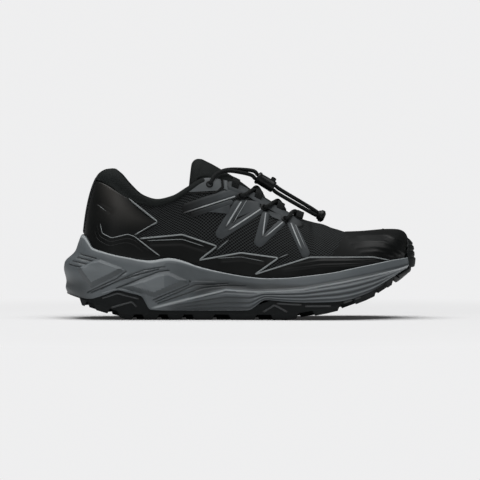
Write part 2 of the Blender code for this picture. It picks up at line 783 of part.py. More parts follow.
def build_bumper(group, look):
    bm = bmesh.new()
    rings = []
    for column in range(-BUMPER_COLUMNS, BUMPER_COLUMNS + 1):
        place = EDGE[column]
        way = NORMALS[column]
        fade = (abs(column) / BUMPER_COLUMNS) ** 2
        low = float(SOLE_HEIGHTS.at("foam", place[0])) + BUMPER_RISE
        high = BUMPER_TOP + (BUMPER_END - BUMPER_TOP) * fade
        section = []
        for share, off in zip(BUMPER_STEPS.keys, BUMPER_STEPS.values["off"]):
            flat = place + way * (GAP + off * (1 - 0.5 * fade))
            section.append((*flat, low + (high - low) * share))
        flat = place + way * GAP
        section += [(*flat, high), (*flat, low)]
        rings.append(add_ring(bm, section))
    for here, ahead in zip(rings, rings[1:]):
        bridge(bm, here, ahead)
    bm.faces.new(rings[0])
    bm.faces.new(rings[-1])
    face_out(bm)
    return add_object("toe_bumper", bm, look, group)


# Eyelets of both sides, from the top row to the front, in the side view
EYELETS = [(-24.8, 110.0), (0.5, 100.2), (20.0, 90.8), (37.0, 81.4)]
LACE_RADIUS = LACE_DIAMETER / 2
LACE_OFF = OVERLAY_GAP + OVERLAY_WALL + 2.5 * GAP + LACE_RADIUS
LACE_OVER_TONGUE = 0.8 + LACE_RADIUS
LACE_STEP = 3.0 * LACE_DIAMETER
LACE_WELD = 0.00001
ROUTE_STEPS = 12
FRONT_X = 50.5
THROAT_SHARES = (30, 67.4)
THROAT_STEPS = 200

# Cord lock on both lace ends, and the pull that joins them
LOCK_CENTRE = np.array([21.2, 0.0, 111.8])
LOCK_TILT = math.radians(31)
LOCK_LENGTH = 16.8
LOCK_RADIUS = 5.3
LOCK_BEVEL = 1.0
LOCK_ALONG = np.array([math.cos(LOCK_TILT), 0, -math.sin(LOCK_TILT)])
LOCK_UP = np.array([math.sin(LOCK_TILT), 0, math.cos(LOCK_TILT)])
STRAND_SPREAD = np.array([0, 1.3, 0]) + 1.9 * LOCK_UP
BUTTON_RADIUS = 2.2
BUTTON_PROUD = 1.9
BUTTON_FOOT = 2.2
BUTTON_TRAVEL = 1.5
BUTTON_PLACE = 4.4
BUTTON_BEVEL = 0.5
BUTTON_SIDES = 12
BARREL_SIDES = 16
BEVEL_ANGLE = math.radians(50)
PULL_CENTRE = np.array([67.0, 1.0, 84.2])
PULL_TILT = math.radians(24)
PULL_ALONG = np.array([math.cos(PULL_TILT), 0, -math.sin(PULL_TILT)])
PULL_RADIUS = 5.0
PULL_LENGTH = 6.4
PULL_BEVEL = 1.4
PULL_SPREAD = 0.85

# Free stretches of the lace: where they cross the throat's edge, rise, and run straight at the lock
RISE_X = -19.0
RISE_OFF = np.array([0, 0, 1.2])
CREST = {"lateral": np.array([-9.0, -9.0, 120.5]), "medial": np.array([-9.0, 9.0, 121.5])}
STRAIGHT_RUN = 9.0
LACE_SAG = np.array([0, 0, 0.8])
PULL_RUN = 10.0
PULL_LIFT = 0.2


def throat_edge(x, side):
    """Point above the edge of the throat that a lace lies on as it crosses the edge."""
    shares = np.linspace(*THROAT_SHARES, THROAT_STEPS)
    places = UPPER_SECTIONS.at("x", shares)
    half = float(np.interp(x, places, UPPER_SECTIONS.at("half", shares)))
    height = float(np.interp(x, places, UPPER_SECTIONS.at("height", shares)))
    return np.array([x, float(centre_line(x)) + side * half, height + LACE_OFF + GAP])


def over_tongue(x):
    return np.array([x, float(centre_line(x)), float(TONGUE.at("height", x)) + LACE_OVER_TONGUE])


def eyelet_point(skin, number, side):
    """Middle of the lace where it comes out of an eyelet."""
    x, z = EYELETS[number]
    hit, out, _, _ = skin.ray_cast(Vector((x, 2 * WIDE * side, z)), Vector((0, -side, 0)))
    out = out if out.y * side > 0 else -out
    return np.array(hit + out * (LACE_OFF + 2 * GAP))


def smooth_route(points, step):
    """Points at even steps on a round curve through the points of a route."""
    points = np.array(points, dtype=float)
    padded = np.vstack([2 * points[0] - points[1], points, 2 * points[-1] - points[-2]])
    dense = []
    for a, b, c, d in zip(padded, padded[1:], padded[2:], padded[3:]):
        for t in np.linspace(0, 1, ROUTE_STEPS, endpoint=False):
            dense.append(0.5 * (2 * b + (c - a) * t + (2 * a - 5 * b + 4 * c - d) * t ** 2
                                + (3 * b - a - 3 * c + d) * t ** 3))
    dense = np.array(dense + [points[-1]])
    length = np.concatenate([[0], np.cumsum(np.linalg.norm(np.diff(dense, axis=0), axis=1))])
    even = np.linspace(0, length[-1], max(int(round(length[-1] / step)), 2) + 1)
    return np.column_stack([np.interp(even, length, dense[:, k]) for k in range(3)])


def tube(name, route, group, look):
    curve = bpy.data.curves.new(name, "CURVE")
    curve.dimensions = "3D"
    curve.bevel_depth = LACE_RADIUS * MM
    curve.bevel_resolution = 2
    curve.use_fill_caps = True
    points = smooth_route(route, LACE_STEP)
    spline = curve.splines.new("POLY")
    spline.points.add(len(points) - 1)
    for place, point in zip(spline.points, points):
        place.co = (*(point * MM), 1.0)
    thing = bpy.data.objects.new(name, curve)
    curve.materials.append(finish(name, look))
    group.objects.link(thing)
    return thing


def tube_as_mesh(curve_object, group):
    """The closed mesh of a tube, to be joined with another."""
    bpy.context.view_layer.update()
    graph = bpy.context.evaluated_depsgraph_get()
    mesh = bpy.data.meshes.new_from_object(curve_object.evaluated_get(graph))
    bm = bmesh.new()
    bm.from_mesh(mesh)
    bmesh.ops.remove_doubles(bm, verts=bm.verts, dist=LACE_WELD)
    face_out(bm)
    bm.to_mesh(mesh)
    bm.free()
    name = curve_object.name
    bpy.data.objects.remove(curve_object, do_unlink=True)
    thing = bpy.data.objects.new(name, mesh)
    group.objects.link(thing)
    return thing


def tuck_point(x, side):
    """Middle of a lace where it goes under the edge of the throat."""
    edge = throat_edge(x, side)
    half = abs(edge[1] - float(centre_line(x)))
    low = edge[2] - LACE_OFF - GAP - UPPER_WALL - TONGUE_CLEARANCE
    share = (half - LACE_RADIUS - 3 * GAP) / half
    rise = max(float(TONGUE.at("height", x)) - low, 0) * (1 - share ** 2)
    return np.array([x, float(centre_line(x)) + side * share * half, low + rise + LACE_OVER_TONGUE])


def diagonal(skin, start, side):
    """Route of a lace from an eyelet over the throat to under its other edge, further forward."""
    first = EYELETS[start][0]
    last = EYELETS[start + 1][0] if start + 1 < len(EYELETS) else FRONT_X
    run = last - first
    return [
        eyelet_point(skin, start, side),
        throat_edge(first + 0.25 * run, side),
        over_tongue(first + 0.6 * run),
        tuck_point(last, -side),
    ]


def build_crossings(skin, group, cutters, look):
    for number in range(1, len(EYELETS)):
        name = f"lace_crossing_{number}"
        under = tube(name, diagonal(skin, number, -1), group, look)
        over = tube(name + "_over", diagonal(skin, number, 1), cutters, look)
        first = tube_as_mesh(under, group)
        second = tube_as_mesh(over, cutters)
        second.hide_render = True
        second.display_type = "WIRE"
        add_cut(first, "UNION", second)


def build_lace_ends(skin, group, look):
    """Both lace ends: from the top eyelets to the cord lock, and from the lock to the pull."""
    for name, side in (("lateral", -1), ("medial", 1)):
        spread = side * STRAND_SPREAD
        into_lock = LOCK_CENTRE - LOCK_ALONG * (LOCK_LENGTH / 2 + GAP) + spread
        out_of_lock = LOCK_CENTRE + LOCK_ALONG * (LOCK_LENGTH / 2 + GAP) + spread
        into_pull = PULL_CENTRE - PULL_ALONG * (PULL_LENGTH / 2 + 3 * GAP) + PULL_SPREAD * spread
        tube("lace_end_" + name, [
            eyelet_point(skin, 0, side),
            throat_edge(RISE_X, side) + RISE_OFF,
            CREST[name],
            into_lock - LOCK_ALONG * STRAIGHT_RUN + LACE_SAG,
            into_lock,
        ], group, look)
        tube("lace_tail_" + name, [
            out_of_lock,
            out_of_lock + LOCK_ALONG * STRAIGHT_RUN - LACE_SAG,
            into_pull - LOCK_ALONG * PULL_RUN + PULL_LIFT * spread,
            into_pull,
        ], group, look)


def turned_to(bm, way):
    """Turn a shape that stands along z to another direction."""
    turn = Vector((0, 0, 1)).rotation_difference(Vector(way)).to_matrix()
    bmesh.ops.rotate(bm, verts=bm.verts, matrix=turn)


def cylinder(radius, length, sides, way, centre):
    bm = bmesh.new()
    bmesh.ops.create_cone(bm, cap_ends=True, segments=sides, radius1=radius, radius2=radius, depth=length)
    turned_to(bm, way)
    bmesh.ops.translate(bm, verts=bm.verts, vec=Vector(centre))
    return bm


def add_bevel(thing, width):
    bevel = thing.modifiers.new("round edges", "BEVEL")
    bevel.width = width * MM
    bevel.segments = 1
    bevel.limit_method = "ANGLE"
    bevel.angle_limit = BEVEL_ANGLE


def build_lock(group, cutters, look):
    barrel = cylinder(LOCK_RADIUS, LOCK_LENGTH, BARREL_SIDES, LOCK_ALONG, LOCK_CENTRE)
    lock = add_object("cord_lock_body", barrel, look, group)
    add_bevel(lock, LOCK_BEVEL)
    seat = LOCK_CENTRE + LOCK_ALONG * BUTTON_PLACE + LOCK_UP * LOCK_RADIUS
    depth = BUTTON_FOOT + BUTTON_TRAVEL + GAP
    pocket = cylinder(BUTTON_RADIUS + GAP, 2 * depth, BUTTON_SIDES, LOCK_UP, seat)
    add_cut(lock, "DIFFERENCE", add_cutter("button_pocket", pocket, cutters))
    height = BUTTON_PROUD + BUTTON_FOOT
    middle = seat + LOCK_UP * (BUTTON_PROUD - height / 2)
    pin = cylinder(BUTTON_RADIUS, height, BUTTON_SIDES, LOCK_UP, np.zeros(3))
    button = add_object("cord_lock_button", pin, look, group)
    button.location = middle * MM
    add_bevel(button, BUTTON_BEVEL)


def build_pull(group, look):
    barrel = cylinder(PULL_RADIUS, PULL_LENGTH, BARREL_SIDES, PULL_ALONG, PULL_CENTRE)
    pull = add_object("lace_pull", barrel, look, group)
    add_bevel(pull, PULL_BEVEL)


def main():
    clear_scene()
    shoe = collection("outdoor_sneaker")
    cutters = collection("cutters")
    build_midsole(shoe, FOAM)
    build_outsole(shoe, RUBBER)
    build_bumper(shoe, RUBBER)
    build_insole(shoe, SOCK)
    build_upper(shoe, MESH)
    build_cuff(shoe, PADDING)
    build_tongue(shoe, PADDING)
    counter = COUNTER_TOP + above_rim(*COUNTER_RIM) + [COUNTER_BACK]
    build_overlay("heel_counter", counter, COUNTER_REACH, BOTH_SIDES, shoe, cutters, FILM)
    cap = CAP_TOP + [CAP_FRONT] + above_rim(*CAP_RIM)
    build_overlay("toe_cap", cap, CAP_REACH, BOTH_SIDES, shoe, cutters, FILM)
    for side, sides in EYESTAY_SIDES.items():
        name = "eyestay_" + side
        build_overlay(name, EYESTAY_OUTLINE, EYESTAY_REACH, sides, shoe, cutters, STRAP, EYESTAY_HOLES)
    skin = BVHTree.FromBMesh(surface_of_upper(UPPER_ROWS))
    build_crossings(skin, shoe, cutters, BRAID)
    build_lace_ends(skin, shoe, BRAID)
    build_lock(shoe, cutters, PLASTIC)
    build_pull(shoe, PLASTIC)


main()
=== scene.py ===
# %% [markdown]
# Outdoor sneaker, right shoe
#
# This lesson dresses a plain solid model of a trail running shoe until it looks like the real thing. The
# solid model is loaded first as a fixed frame. Soft and finely shaped pieces are then modelled anew
# around the same tables of sizes, so that they land exactly where the solids are. Sizes are in
# millimetres, and turn into metres when a mesh is made. +X is the toe, -Y the outer side that faces the
# camera, +Z is up.

# %% Load the frame
import math

import bmesh
import bpy
import numpy as np
from mathutils import Matrix, Vector
from mathutils.bvhtree import BVHTree


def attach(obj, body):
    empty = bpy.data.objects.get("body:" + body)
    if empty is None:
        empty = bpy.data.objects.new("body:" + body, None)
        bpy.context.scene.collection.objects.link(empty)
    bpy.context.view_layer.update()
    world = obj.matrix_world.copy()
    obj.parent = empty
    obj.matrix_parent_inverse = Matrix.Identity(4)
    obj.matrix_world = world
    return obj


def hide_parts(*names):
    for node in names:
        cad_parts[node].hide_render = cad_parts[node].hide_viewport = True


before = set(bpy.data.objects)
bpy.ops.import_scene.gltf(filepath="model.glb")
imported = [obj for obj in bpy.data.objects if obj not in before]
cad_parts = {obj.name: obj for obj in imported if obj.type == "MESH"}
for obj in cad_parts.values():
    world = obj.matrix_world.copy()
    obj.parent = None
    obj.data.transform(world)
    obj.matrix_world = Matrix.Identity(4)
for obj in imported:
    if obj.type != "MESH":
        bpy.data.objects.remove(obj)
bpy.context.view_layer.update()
MM = 0.001

# %% [markdown]
# Camera
#
# A catalogue photograph of a shoe is taken from the side with a long lens, almost at the height of the
# shoe. A camera close by would show the near side larger than the far one. This one stands three metres
# away, so the picture is nearly flat, and its focal length follows from the width that the picture has to
# show.

# %% Camera
PIXELS, PIXEL = 480, 0.824
PICTURE = PIXELS * PIXEL
VIEW_MIDDLE = Vector((0.2, 0.0, 64.3)) * MM
VIEW_DISTANCE = 3.0
VIEW_RISE = 0.05
SENSOR = 36.0


def link(thing):
    bpy.context.scene.collection.objects.link(thing)
    return thing


def aim_at(thing, place):
    thing.rotation_euler = (Vector(place) - thing.location).to_track_quat("-Z", "Y").to_euler()


lens = bpy.data.cameras.new("side_camera")
lens.sensor_width = SENSOR
lens.lens = SENSOR * VIEW_DISTANCE / (PICTURE * MM)
camera = link(bpy.data.objects.new("side_camera", lens))
camera.location = VIEW_MIDDLE + Vector((0, -VIEW_DISTANCE, VIEW_RISE))
aim_at(camera, VIEW_MIDDLE)
bpy.context.scene.camera = camera
print("focal length:", round(lens.lens, 1))

# %% [markdown]
# Floor
#
# The shoe stands on pale studio paper that is swept up behind it. A plain floor would end in a horizon.
# This one is a wide disc with two looks, mixed by the distance from the shoe: close by it takes light and
# shadow like paper, and further out it glows evenly, as a well lit sweep does.

# %% Floor
FLOOR_REACH, FLOOR_SIDES = 9.0, 64
PAPER_TONE = (0.86, 0.86, 0.865, 1)
PAPER_COLOUR = (0.90, 0.90, 0.905, 1)
PAPER_ROUGHNESS = 0.95
GLOW_FROM, GLOW_FULL, GLOW_LEAST = 0.16, 0.55, 0.03


def mixed_output(tree, share, first, second, output):
    """Mix two shaders by a share and send the result to the output node."""
    mixed = tree.nodes.new("ShaderNodeMixShader")
    tree.links.new(share, mixed.inputs["Fac"])
    tree.links.new(first, mixed.inputs[1])
    tree.links.new(second, mixed.inputs[2])
    tree.links.new(mixed.outputs["Shader"], tree.nodes[output].inputs["Surface"])


def paper_finish():
    """Pale paper that turns into an even glow away from the middle."""
    material = bpy.data.materials.new("studio_paper")
    material.use_nodes = True
    tree = material.node_tree
    shader = tree.nodes["Principled BSDF"]
    shader.inputs["Base Color"].default_value = PAPER_COLOUR
    shader.inputs["Roughness"].default_value = PAPER_ROUGHNESS
    shader.inputs["Specular IOR Level"].default_value = 0.0
    glow = tree.nodes.new("ShaderNodeEmission")
    glow.inputs["Color"].default_value = PAPER_TONE
    place = tree.nodes.new("ShaderNodeTexCoord")
    reach = tree.nodes.new("ShaderNodeVectorMath")
    reach.operation = "LENGTH"
    tree.links.new(place.outputs["Object"], reach.inputs[0])
    share = tree.nodes.new("ShaderNodeMapRange")
    share.interpolation_type = "SMOOTHSTEP"
    share.inputs["From Min"].default_value = GLOW_FROM
    share.inputs["From Max"].default_value = GLOW_FULL
    share.inputs["To Min"].default_value = GLOW_LEAST
    tree.links.new(reach.outputs["Value"], share.inputs["Value"])
    paper, glowing = shader.outputs["BSDF"], glow.outputs["Emission"]
    mixed_output(tree, share.outputs["Result"], paper, glowing, "Material Output")
    return material


disc = bmesh.new()
bmesh.ops.create_circle(disc, cap_ends=True, segments=FLOOR_SIDES, radius=FLOOR_REACH)
floor_mesh = bpy.data.meshes.new("paper_floor")
disc.to_mesh(floor_mesh)
disc.free()
floor_mesh.materials.append(paper_finish())
floor = link(bpy.data.objects.new("paper_floor", floor_mesh))
print("floor radius in metres:", FLOOR_REACH)

# %% [markdown]
# Light
#
# Such a picture is lit by large soft boxes, mostly from above. Area lamps do the same here: a big one
# overhead that gives the pale edges, and a weak one in front. The world adds a little light from all
# around, and shows the camera the tone of the paper wherever there is no floor.

# %% Soft studio light
ROOM_LIGHT = 0.06


def soft_box(name, place, aim, size, power):
    lamp = bpy.data.lights.new(name, "AREA")
    lamp.shape = "RECTANGLE"
    lamp.size, lamp.size_y = size
    lamp.energy = power
    thing = link(bpy.data.objects.new(name, lamp))
    thing.location = place
    aim_at(thing, aim)


def studio_world():
    """Dim light from the room; the camera itself sees the tone of the paper."""
    world = bpy.data.worlds.new("studio")
    world.use_nodes = True
    tree = world.node_tree
    room = tree.nodes["Background"]
    room.inputs["Color"].default_value = (1, 1, 1, 1)
    room.inputs["Strength"].default_value = ROOM_LIGHT
    seen = tree.nodes.new("ShaderNodeBackground")
    seen.inputs["Color"].default_value = PAPER_TONE
    rays = tree.nodes.new("ShaderNodeLightPath").outputs["Is Camera Ray"]
    mixed_output(tree, rays, room.outputs["Background"], seen.outputs["Background"], "World Output")
    return world


soft_box("top_box", place=(-0.05, -0.1, 1.5), aim=(0, 0, 0.05), size=(2.0, 1.4), power=27)
soft_box("front_box", place=(-0.6, -1.6, 1.0), aim=(0, 0, 0.06), size=(0.8, 0.6), power=2.5)
bpy.context.scene.world = studio_world()
bpy.context.scene.view_settings.view_transform = "Standard"

# %% [markdown]
# The tables of sizes
#
# A shoe has hardly a straight line, so its shape is kept as a few tables: widths and heights of the sole
# at places along the shoe, and sections of the upper. A spline through the rows could swing past them. A
# table is read along a smooth curve that never overshoots. These are the tables that the solid model was
# drawn from.


# %% Tables
class Table:
    """Rows of sizes with named columns, read between the rows along a smooth monotone curve."""

    def __init__(self, columns, rows):
        data = np.array(rows, dtype=float)
        self.keys = data[:, 0]
        self.values = {name: data[:, i] for i, name in enumerate(columns.split())}

    def at(self, column, key):
        keys, values = self.keys, self.values[column]
        steps = np.diff(values) / np.diff(keys)
        slopes = np.zeros_like(values)
        slopes[0], slopes[-1] = steps[0], steps[-1]
        same_way = steps[:-1] * steps[1:] > 0
        sums = np.where(same_way, steps[:-1] + steps[1:], 1)
        slopes[1:-1] = np.where(same_way, 2 * steps[:-1] * steps[1:] / sums, 0)
        key = np.clip(key, keys[0], keys[-1])
        i = np.clip(np.searchsorted(keys, key) - 1, 0, len(keys) - 2)
        width = keys[i + 1] - keys[i]
        t = (key - keys[i]) / width
        start = (1 + 2 * t) * (1 - t) ** 2 * values[i] + t * (1 - t) ** 2 * width * slopes[i]
        end = t * t * (3 - 2 * t) * values[i + 1] + t * t * (t - 1) * width * slopes[i + 1]
        return start + end


trial = Table("key value", [(0, 0), (1, 10)])
print("a table read halfway:", float(trial.at("value", 0.5)))

# %% Sizes of the shoe
LENGTH = 290.0
GAP = 0.3
HEEL_X = -LENGTH / 2
TOE_X = LENGTH / 2
SOLE_TOE_X = TOE_X - 3.0 - GAP
RIM_WALL = 2.0
UPPER_WALL = 2.2

SOLE_WIDTHS = Table("x lateral medial", [
    (-145, 43, 43), (-100, 44, 44), (-60, 44, 41), (-20, 45, 36), (15, 49, 38),
    (50, 53, 46), (80, 54, 52), (110, 50, 53), (145, 44, 48),
])
SOLE_HEIGHTS = Table("x floor foam ridge rim foot", [
    (-145, 16.5, 21.0, 36.0, 69.0, 49.0),
    (-136, 14.0, 18.5, 34.0, 68.0, 48.0),
    (-130, 12.0, 17.5, 33.0, 64.0, 47.0),
    (-124, 9.8, 17.0, 32.0, 58.5, 46.0),
    (-110, 5.8, 20.5, 33.0, 54.8, 44.5),
    (-99, 2.6, 23.9, 33.0, 52.2, 43.3),
    (-90, 0, 22.0, 31.0, 50.6, 42.0),
    (-80, 0, 19.0, 26.0, 48.8, 41.0),
    (-73, 0, 8.4, 15.0, 48.4, 40.2),
    (-58, 0, 7.6, 15.6, 50.3, 39.0),
    (-30, 0, 7.6, 21.6, 42.4, 34.6),
    (-11, 0, 7.6, 25.4, 38.0, 31.0),
    (6, 0, 7.8, 23.9, 35.2, 28.6),
    (21, 0, 16.4, 23.8, 33.9, 27.4),
    (36, 0, 15.2, 24.4, 34.2, 27.4),
    (52, 2.2, 14.5, 26.0, 35.7, 28.8),
    (76, 6.6, 14.9, 30.0, 38.7, 31.8),
    (88, 10.6, 16.4, 32.6, 41.0, 34.2),
    (108, 18.2, 22.6, 36.6, 44.8, 38.2),
    (128, 30.2, 34.0, 41.4, 48.6, 42.4),
    (145, 39.0, 42.6, 45.6, 51.0, 45.4),
])
SIDE_INSETS = Table("level heel side toe", [
    (0.00, 3.2, 3.0, 4.0), (0.10, 1.6, 1.4, 2.4), (0.20, 2.2, 0.4, 1.2), (0.42, 0.2, 0.0, 0.4),
    (0.52, 0.8, 0.8, 0.0), (0.72, 9.6, 2.4, 0.0), (0.88, 12.4, 3.4, 0.0), (1.00, 14.6, 4.4, 0.2),
])
UPPER_SECTIONS = Table("share x half height power", [
    (0, -109.5, 0.0, 121.8, 1.90),
    (5, -106.5, 11.5, 121.8, 1.80),
    (10, -100.0, 21.5, 118.4, 1.60),
    (15, -91.5, 27.5, 109.6, 1.50),
    (20, -81.0, 31.0, 100.4, 1.45),
    (25, -68.5, 31.5, 96.6, 1.45),
    (30, -55.0, 29.5, 99.4, 1.45),
    (35, -41.5, 25.5, 107.6, 1.45),
    (40, -27.0, 21.5, 115.2, 1.50),
    (45, -11.0, 18.5, 113.0, 1.50),
    (50, 5.0, 17.0, 105.6, 1.55),
    (55, 21.0, 15.5, 97.2, 1.60),
    (60, 37.0, 14.0, 88.6, 1.70),
    (63.5, 48.5, 12.5, 82.8, 1.85),
    (66, 56.0, 8.0, 80.2, 1.95),
    (67.5, 59.0, 0.0, 79.6, 2.00),
    (72, 66.0, 0.0, 78.0, 2.10),
    (77, 76.0, 0.0, 74.0, 2.25),
    (82, 86.0, 0.0, 70.9, 2.45),
    (88, 99.0, 0.0, 71.3, 2.80),
    (94, 110.0, 0.0, 72.2, 3.60),
    (100, 119.0, 0.0, 73.0, 5.00),
])
print("sole rows:", len(SOLE_HEIGHTS.keys), "upper sections:", len(UPPER_SECTIONS.keys))

# %% [markdown]
# The edge of the sole, seen from above
#
# Every ring of the sole is the same outline, moved inward by a little. Each ring could be drawn on its
# own, but then their points wouldn't match. The outline is worked out once, with close points at the
# round ends, together with the direction that points out of it at each point.

# %% Outline of the sole
HEEL_ROUND, TOE_ROUND, END_POWER = 46.0, 62.0, 2.25
TOE_SWING, TOE_SWING_START = 6.0, 30.0
LAST = 480
TURN = np.linspace(0, math.pi, LAST + 1)
STATIONS = HEEL_X + (SOLE_TOE_X - HEEL_X) * (1 - np.cos(TURN)) / 2


def unit(vectors):
    """The same directions, all of length one."""
    return vectors / np.linalg.norm(vectors, axis=-1, keepdims=True)


def centre_line(x):
    swing = np.clip((x - TOE_SWING_START) / (TOE_X - TOE_SWING_START), 0, 1)
    return TOE_SWING * swing * swing


def end_round(distance, radius):
    share = np.clip(distance / radius, 0, 1)
    return (1 - (1 - share) ** END_POWER) ** (1 / END_POWER)


def edge_of_sole(side):
    """Widest line of the sole in plan, on the lateral (-1) or the medial (+1) side."""
    width = SOLE_WIDTHS.at("lateral" if side < 0 else "medial", STATIONS)
    width = width * end_round(STATIONS - HEEL_X, HEEL_ROUND) * end_round(SOLE_TOE_X - STATIONS, TOE_ROUND)
    return np.column_stack([STATIONS, centre_line(STATIONS) + side * width])


EDGE = np.vstack([edge_of_sole(-1)[::-1], edge_of_sole(1)[1:-1]])
COUNT = len(EDGE)
run_ahead = unit(np.roll(EDGE, -1, axis=0) - np.roll(EDGE, 1, axis=0))
NORMALS = np.stack([run_ahead[:, 1], -run_ahead[:, 0]], axis=1)
NORMALS = NORMALS * -np.sign(NORMALS[LAST, 0])


def inset_ring(inset):
    return EDGE - NORMALS * np.broadcast_to(inset, (COUNT,))[:, None]


def end_share(near, radius):
    return np.clip(1 - np.abs(EDGE[:, 0] - near) / radius, 0, 1) ** 2


AT_HEEL = end_share(HEEL_X, HEEL_ROUND)
AT_TOE = end_share(SOLE_TOE_X, TOE_ROUND)


def side_inset(level, columns=slice(None)):
    """How far the foam's side lies inside the widest line, from its bottom edge (0) to its rim (1)."""
    side, heel, toe = (SIDE_INSETS.at(name, level) for name in ("side", "heel", "toe"))
    return side + AT_HEEL[columns] * (heel - side) + AT_TOE[columns] * (toe - side)


RIM_INSET = side_inset(np.ones(COUNT))
FEATHER = inset_ring(RIM_INSET + RIM_WALL + GAP)
print("columns round the sole:", COUNT)

# %% [markdown]
# A grid bent into shape
#
# Most surfaces of a shoe are sheets: four sides, curved. They could be drawn by hand, point by point.
# Here bmesh makes a flat grid, and each of its points is moved to the place that a function gives for it.
# The flat grid's own place becomes the UV map, in millimetres, so that cloth patterns follow the surface.
# Sheets that close on themselves are welded along the seam afterwards, and a Solidify gives thin ones a
# wall.


# %% Helpers for sheets
def bent_grid(along, across, place, uv_size=(1.0, 1.0), into=None, shade=None):
    """A flat grid moved to place(u, v), where u runs along and v across, both from 0 to 1.

    uv_size turns u and v into millimetres of cloth, and shade(u, v) may mark each point for the material.
    """
    bm = into or bmesh.new()
    uv = bm.loops.layers.uv.verify()
    marks = bm.verts.layers.float.get("shade") or bm.verts.layers.float.new("shade")
    made = bmesh.ops.create_grid(bm, x_segments=along, y_segments=across, size=1.0)["verts"]
    flat = np.array([vert.co[:2] for vert in made]) / 2 + 0.5
    points = place(flat[:, 0], flat[:, 1])
    shades = shade(flat[:, 0], flat[:, 1]) if shade else np.zeros(len(made))
    cloth = dict(zip(made, flat * uv_size))
    for face in {face for vert in made for face in vert.link_faces}:
        for loop in face.loops:
            loop[uv].uv = cloth[loop.vert]
    for vert, point, value in zip(made, points, shades):
        vert.co = Vector(point)
        vert[marks] = value
    return bm


def step_of(share, count):
    """Number of the grid step that a share of the way falls on."""
    return np.rint(share * count).astype(int)


def face_out(bm):
    bmesh.ops.recalc_face_normals(bm, faces=bm.faces)


def close_up(bm, distance=0.02, fill_ends=False):
    """Weld the points that meet, fill open ends where asked, and turn all faces outward."""
    bmesh.ops.remove_doubles(bm, verts=bm.verts, dist=distance)
    if fill_ends:
        bmesh.ops.holes_fill(bm, edges=[edge for edge in bm.edges if edge.is_boundary], sides=0)
    face_out(bm)


def add_wall(thing, thickness):
    """Give a sheet a wall that grows from its outside inward."""
    wall = thing.modifiers.new("wall", "SOLIDIFY")
    wall.thickness = thickness * MM
    wall.offset = -1


sheet = bent_grid(3, 2, lambda u, v: np.column_stack([u, v, u]))
print("a grid of 3 by 2 steps has", len(sheet.faces), "faces")
sheet.free()

# %% [markdown]
# From mesh to piece
#
# The real shoe is put together from pieces, and each one here becomes an object of its own. An object
# could keep its place as a location; these stay at the origin with the place in the mesh, so that all
# share one frame. Each rides on a body of the frame, hides the solids that it stands for, and gets the
# material that it is made of.

# %% Finished pieces
SHARP_EDGES, FEW_EDGES, NO_EDGES = 40, 60, 180


def make_piece(name, bm, material, stands_for=(), body="shoe", sharp=SHARP_EDGES):
    """Turn a bmesh in millimetres into a finished piece that moves with a body of the frame."""
    bmesh.ops.scale(bm, vec=(MM, MM, MM), verts=bm.verts)
    mesh = bpy.data.meshes.new(name)
    bm.to_mesh(mesh)
    bm.free()
    mesh.shade_smooth()
    mesh.set_sharp_from_angle(angle=math.radians(sharp))
    mesh.materials.append(material)
    thing = link(bpy.data.objects.new(name, mesh))
    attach(thing, body)
    if stands_for:
        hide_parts(*stands_for)
    print(name, "faces:", len(mesh.polygons))
    return thing


SIDES = {"lateral": -1, "medial": 1}


def both_sides(build):
    """Call a function that builds a piece once for each side of the shoe."""
    for label, side in SIDES.items():
        build(side, label)


print("sides:", SIDES)

# %% [markdown]
# Building blocks for materials
#
# A material in Blender is a graph of nodes. It can be wired by hand in the shader editor; in a script, a
# few short helpers keep it readable. One makes a material with the plain numbers set on its shader, one
# makes a group with named sockets, and one adds a calculation. Effects that several materials share, such
# as grain or the holes of a mesh, are groups that put out a mask or a height.


# %% Helpers for materials
def material_of(name, colour, roughness, specular=0.5):
    material = bpy.data.materials.new(name)
    material.use_nodes = True
    shader = material.node_tree.nodes["Principled BSDF"]
    shader.inputs["Base Color"].default_value = (*colour, 1)
    shader.inputs["Roughness"].default_value = roughness
    shader.inputs["Specular IOR Level"].default_value = specular
    return material, material.node_tree, shader


def new_group(name, inputs, outputs):
    tree = bpy.data.node_groups.new(name, "ShaderNodeTree")
    for label, start in inputs.items():
        kind = "NodeSocketVector" if start is None else "NodeSocketFloat"
        socket = tree.interface.new_socket(label, in_out="INPUT", socket_type=kind)
        if start is not None:
            socket.default_value = start
    for label in outputs:
        tree.interface.new_socket(label, in_out="OUTPUT", socket_type="NodeSocketFloat")
    return tree, tree.nodes.new("NodeGroupInput").outputs, tree.nodes.new("NodeGroupOutput").inputs


def feed(tree, value, socket):
    """Link a socket to another one, or set a plain number or colour on it."""
    if isinstance(value, bpy.types.NodeSocket):
        tree.links.new(value, socket)
    else:
        socket.default_value = value


def calc(tree, operation, *values):
    node = tree.nodes.new("ShaderNodeMath")
    node.operation = operation
    for value, socket in zip(values, node.inputs):
        feed(tree, value, socket)
    return node.outputs[0]


def step_up(tree, value, low, high):
    """Zero below low, one above high, and a smooth rise between them."""
    node = tree.nodes.new("ShaderNodeMapRange")
    node.interpolation_type = "SMOOTHSTEP"
    feed(tree, value, node.inputs["Value"])
    node.inputs["From Min"].default_value = low
    node.inputs["From Max"].default_value = high
    return node.outputs["Result"]


def place_group(tree, group, kind, **values):
    """Put a group into a material, fed with the Object or the UV coordinates."""
    node = tree.nodes.new("ShaderNodeGroup")
    node.node_tree = group
    tree.links.new(tree.nodes.new("ShaderNodeTexCoord").outputs[kind], node.inputs["Vector"])
    for label, value in values.items():
        node.inputs[label].default_value = value
    return node.outputs


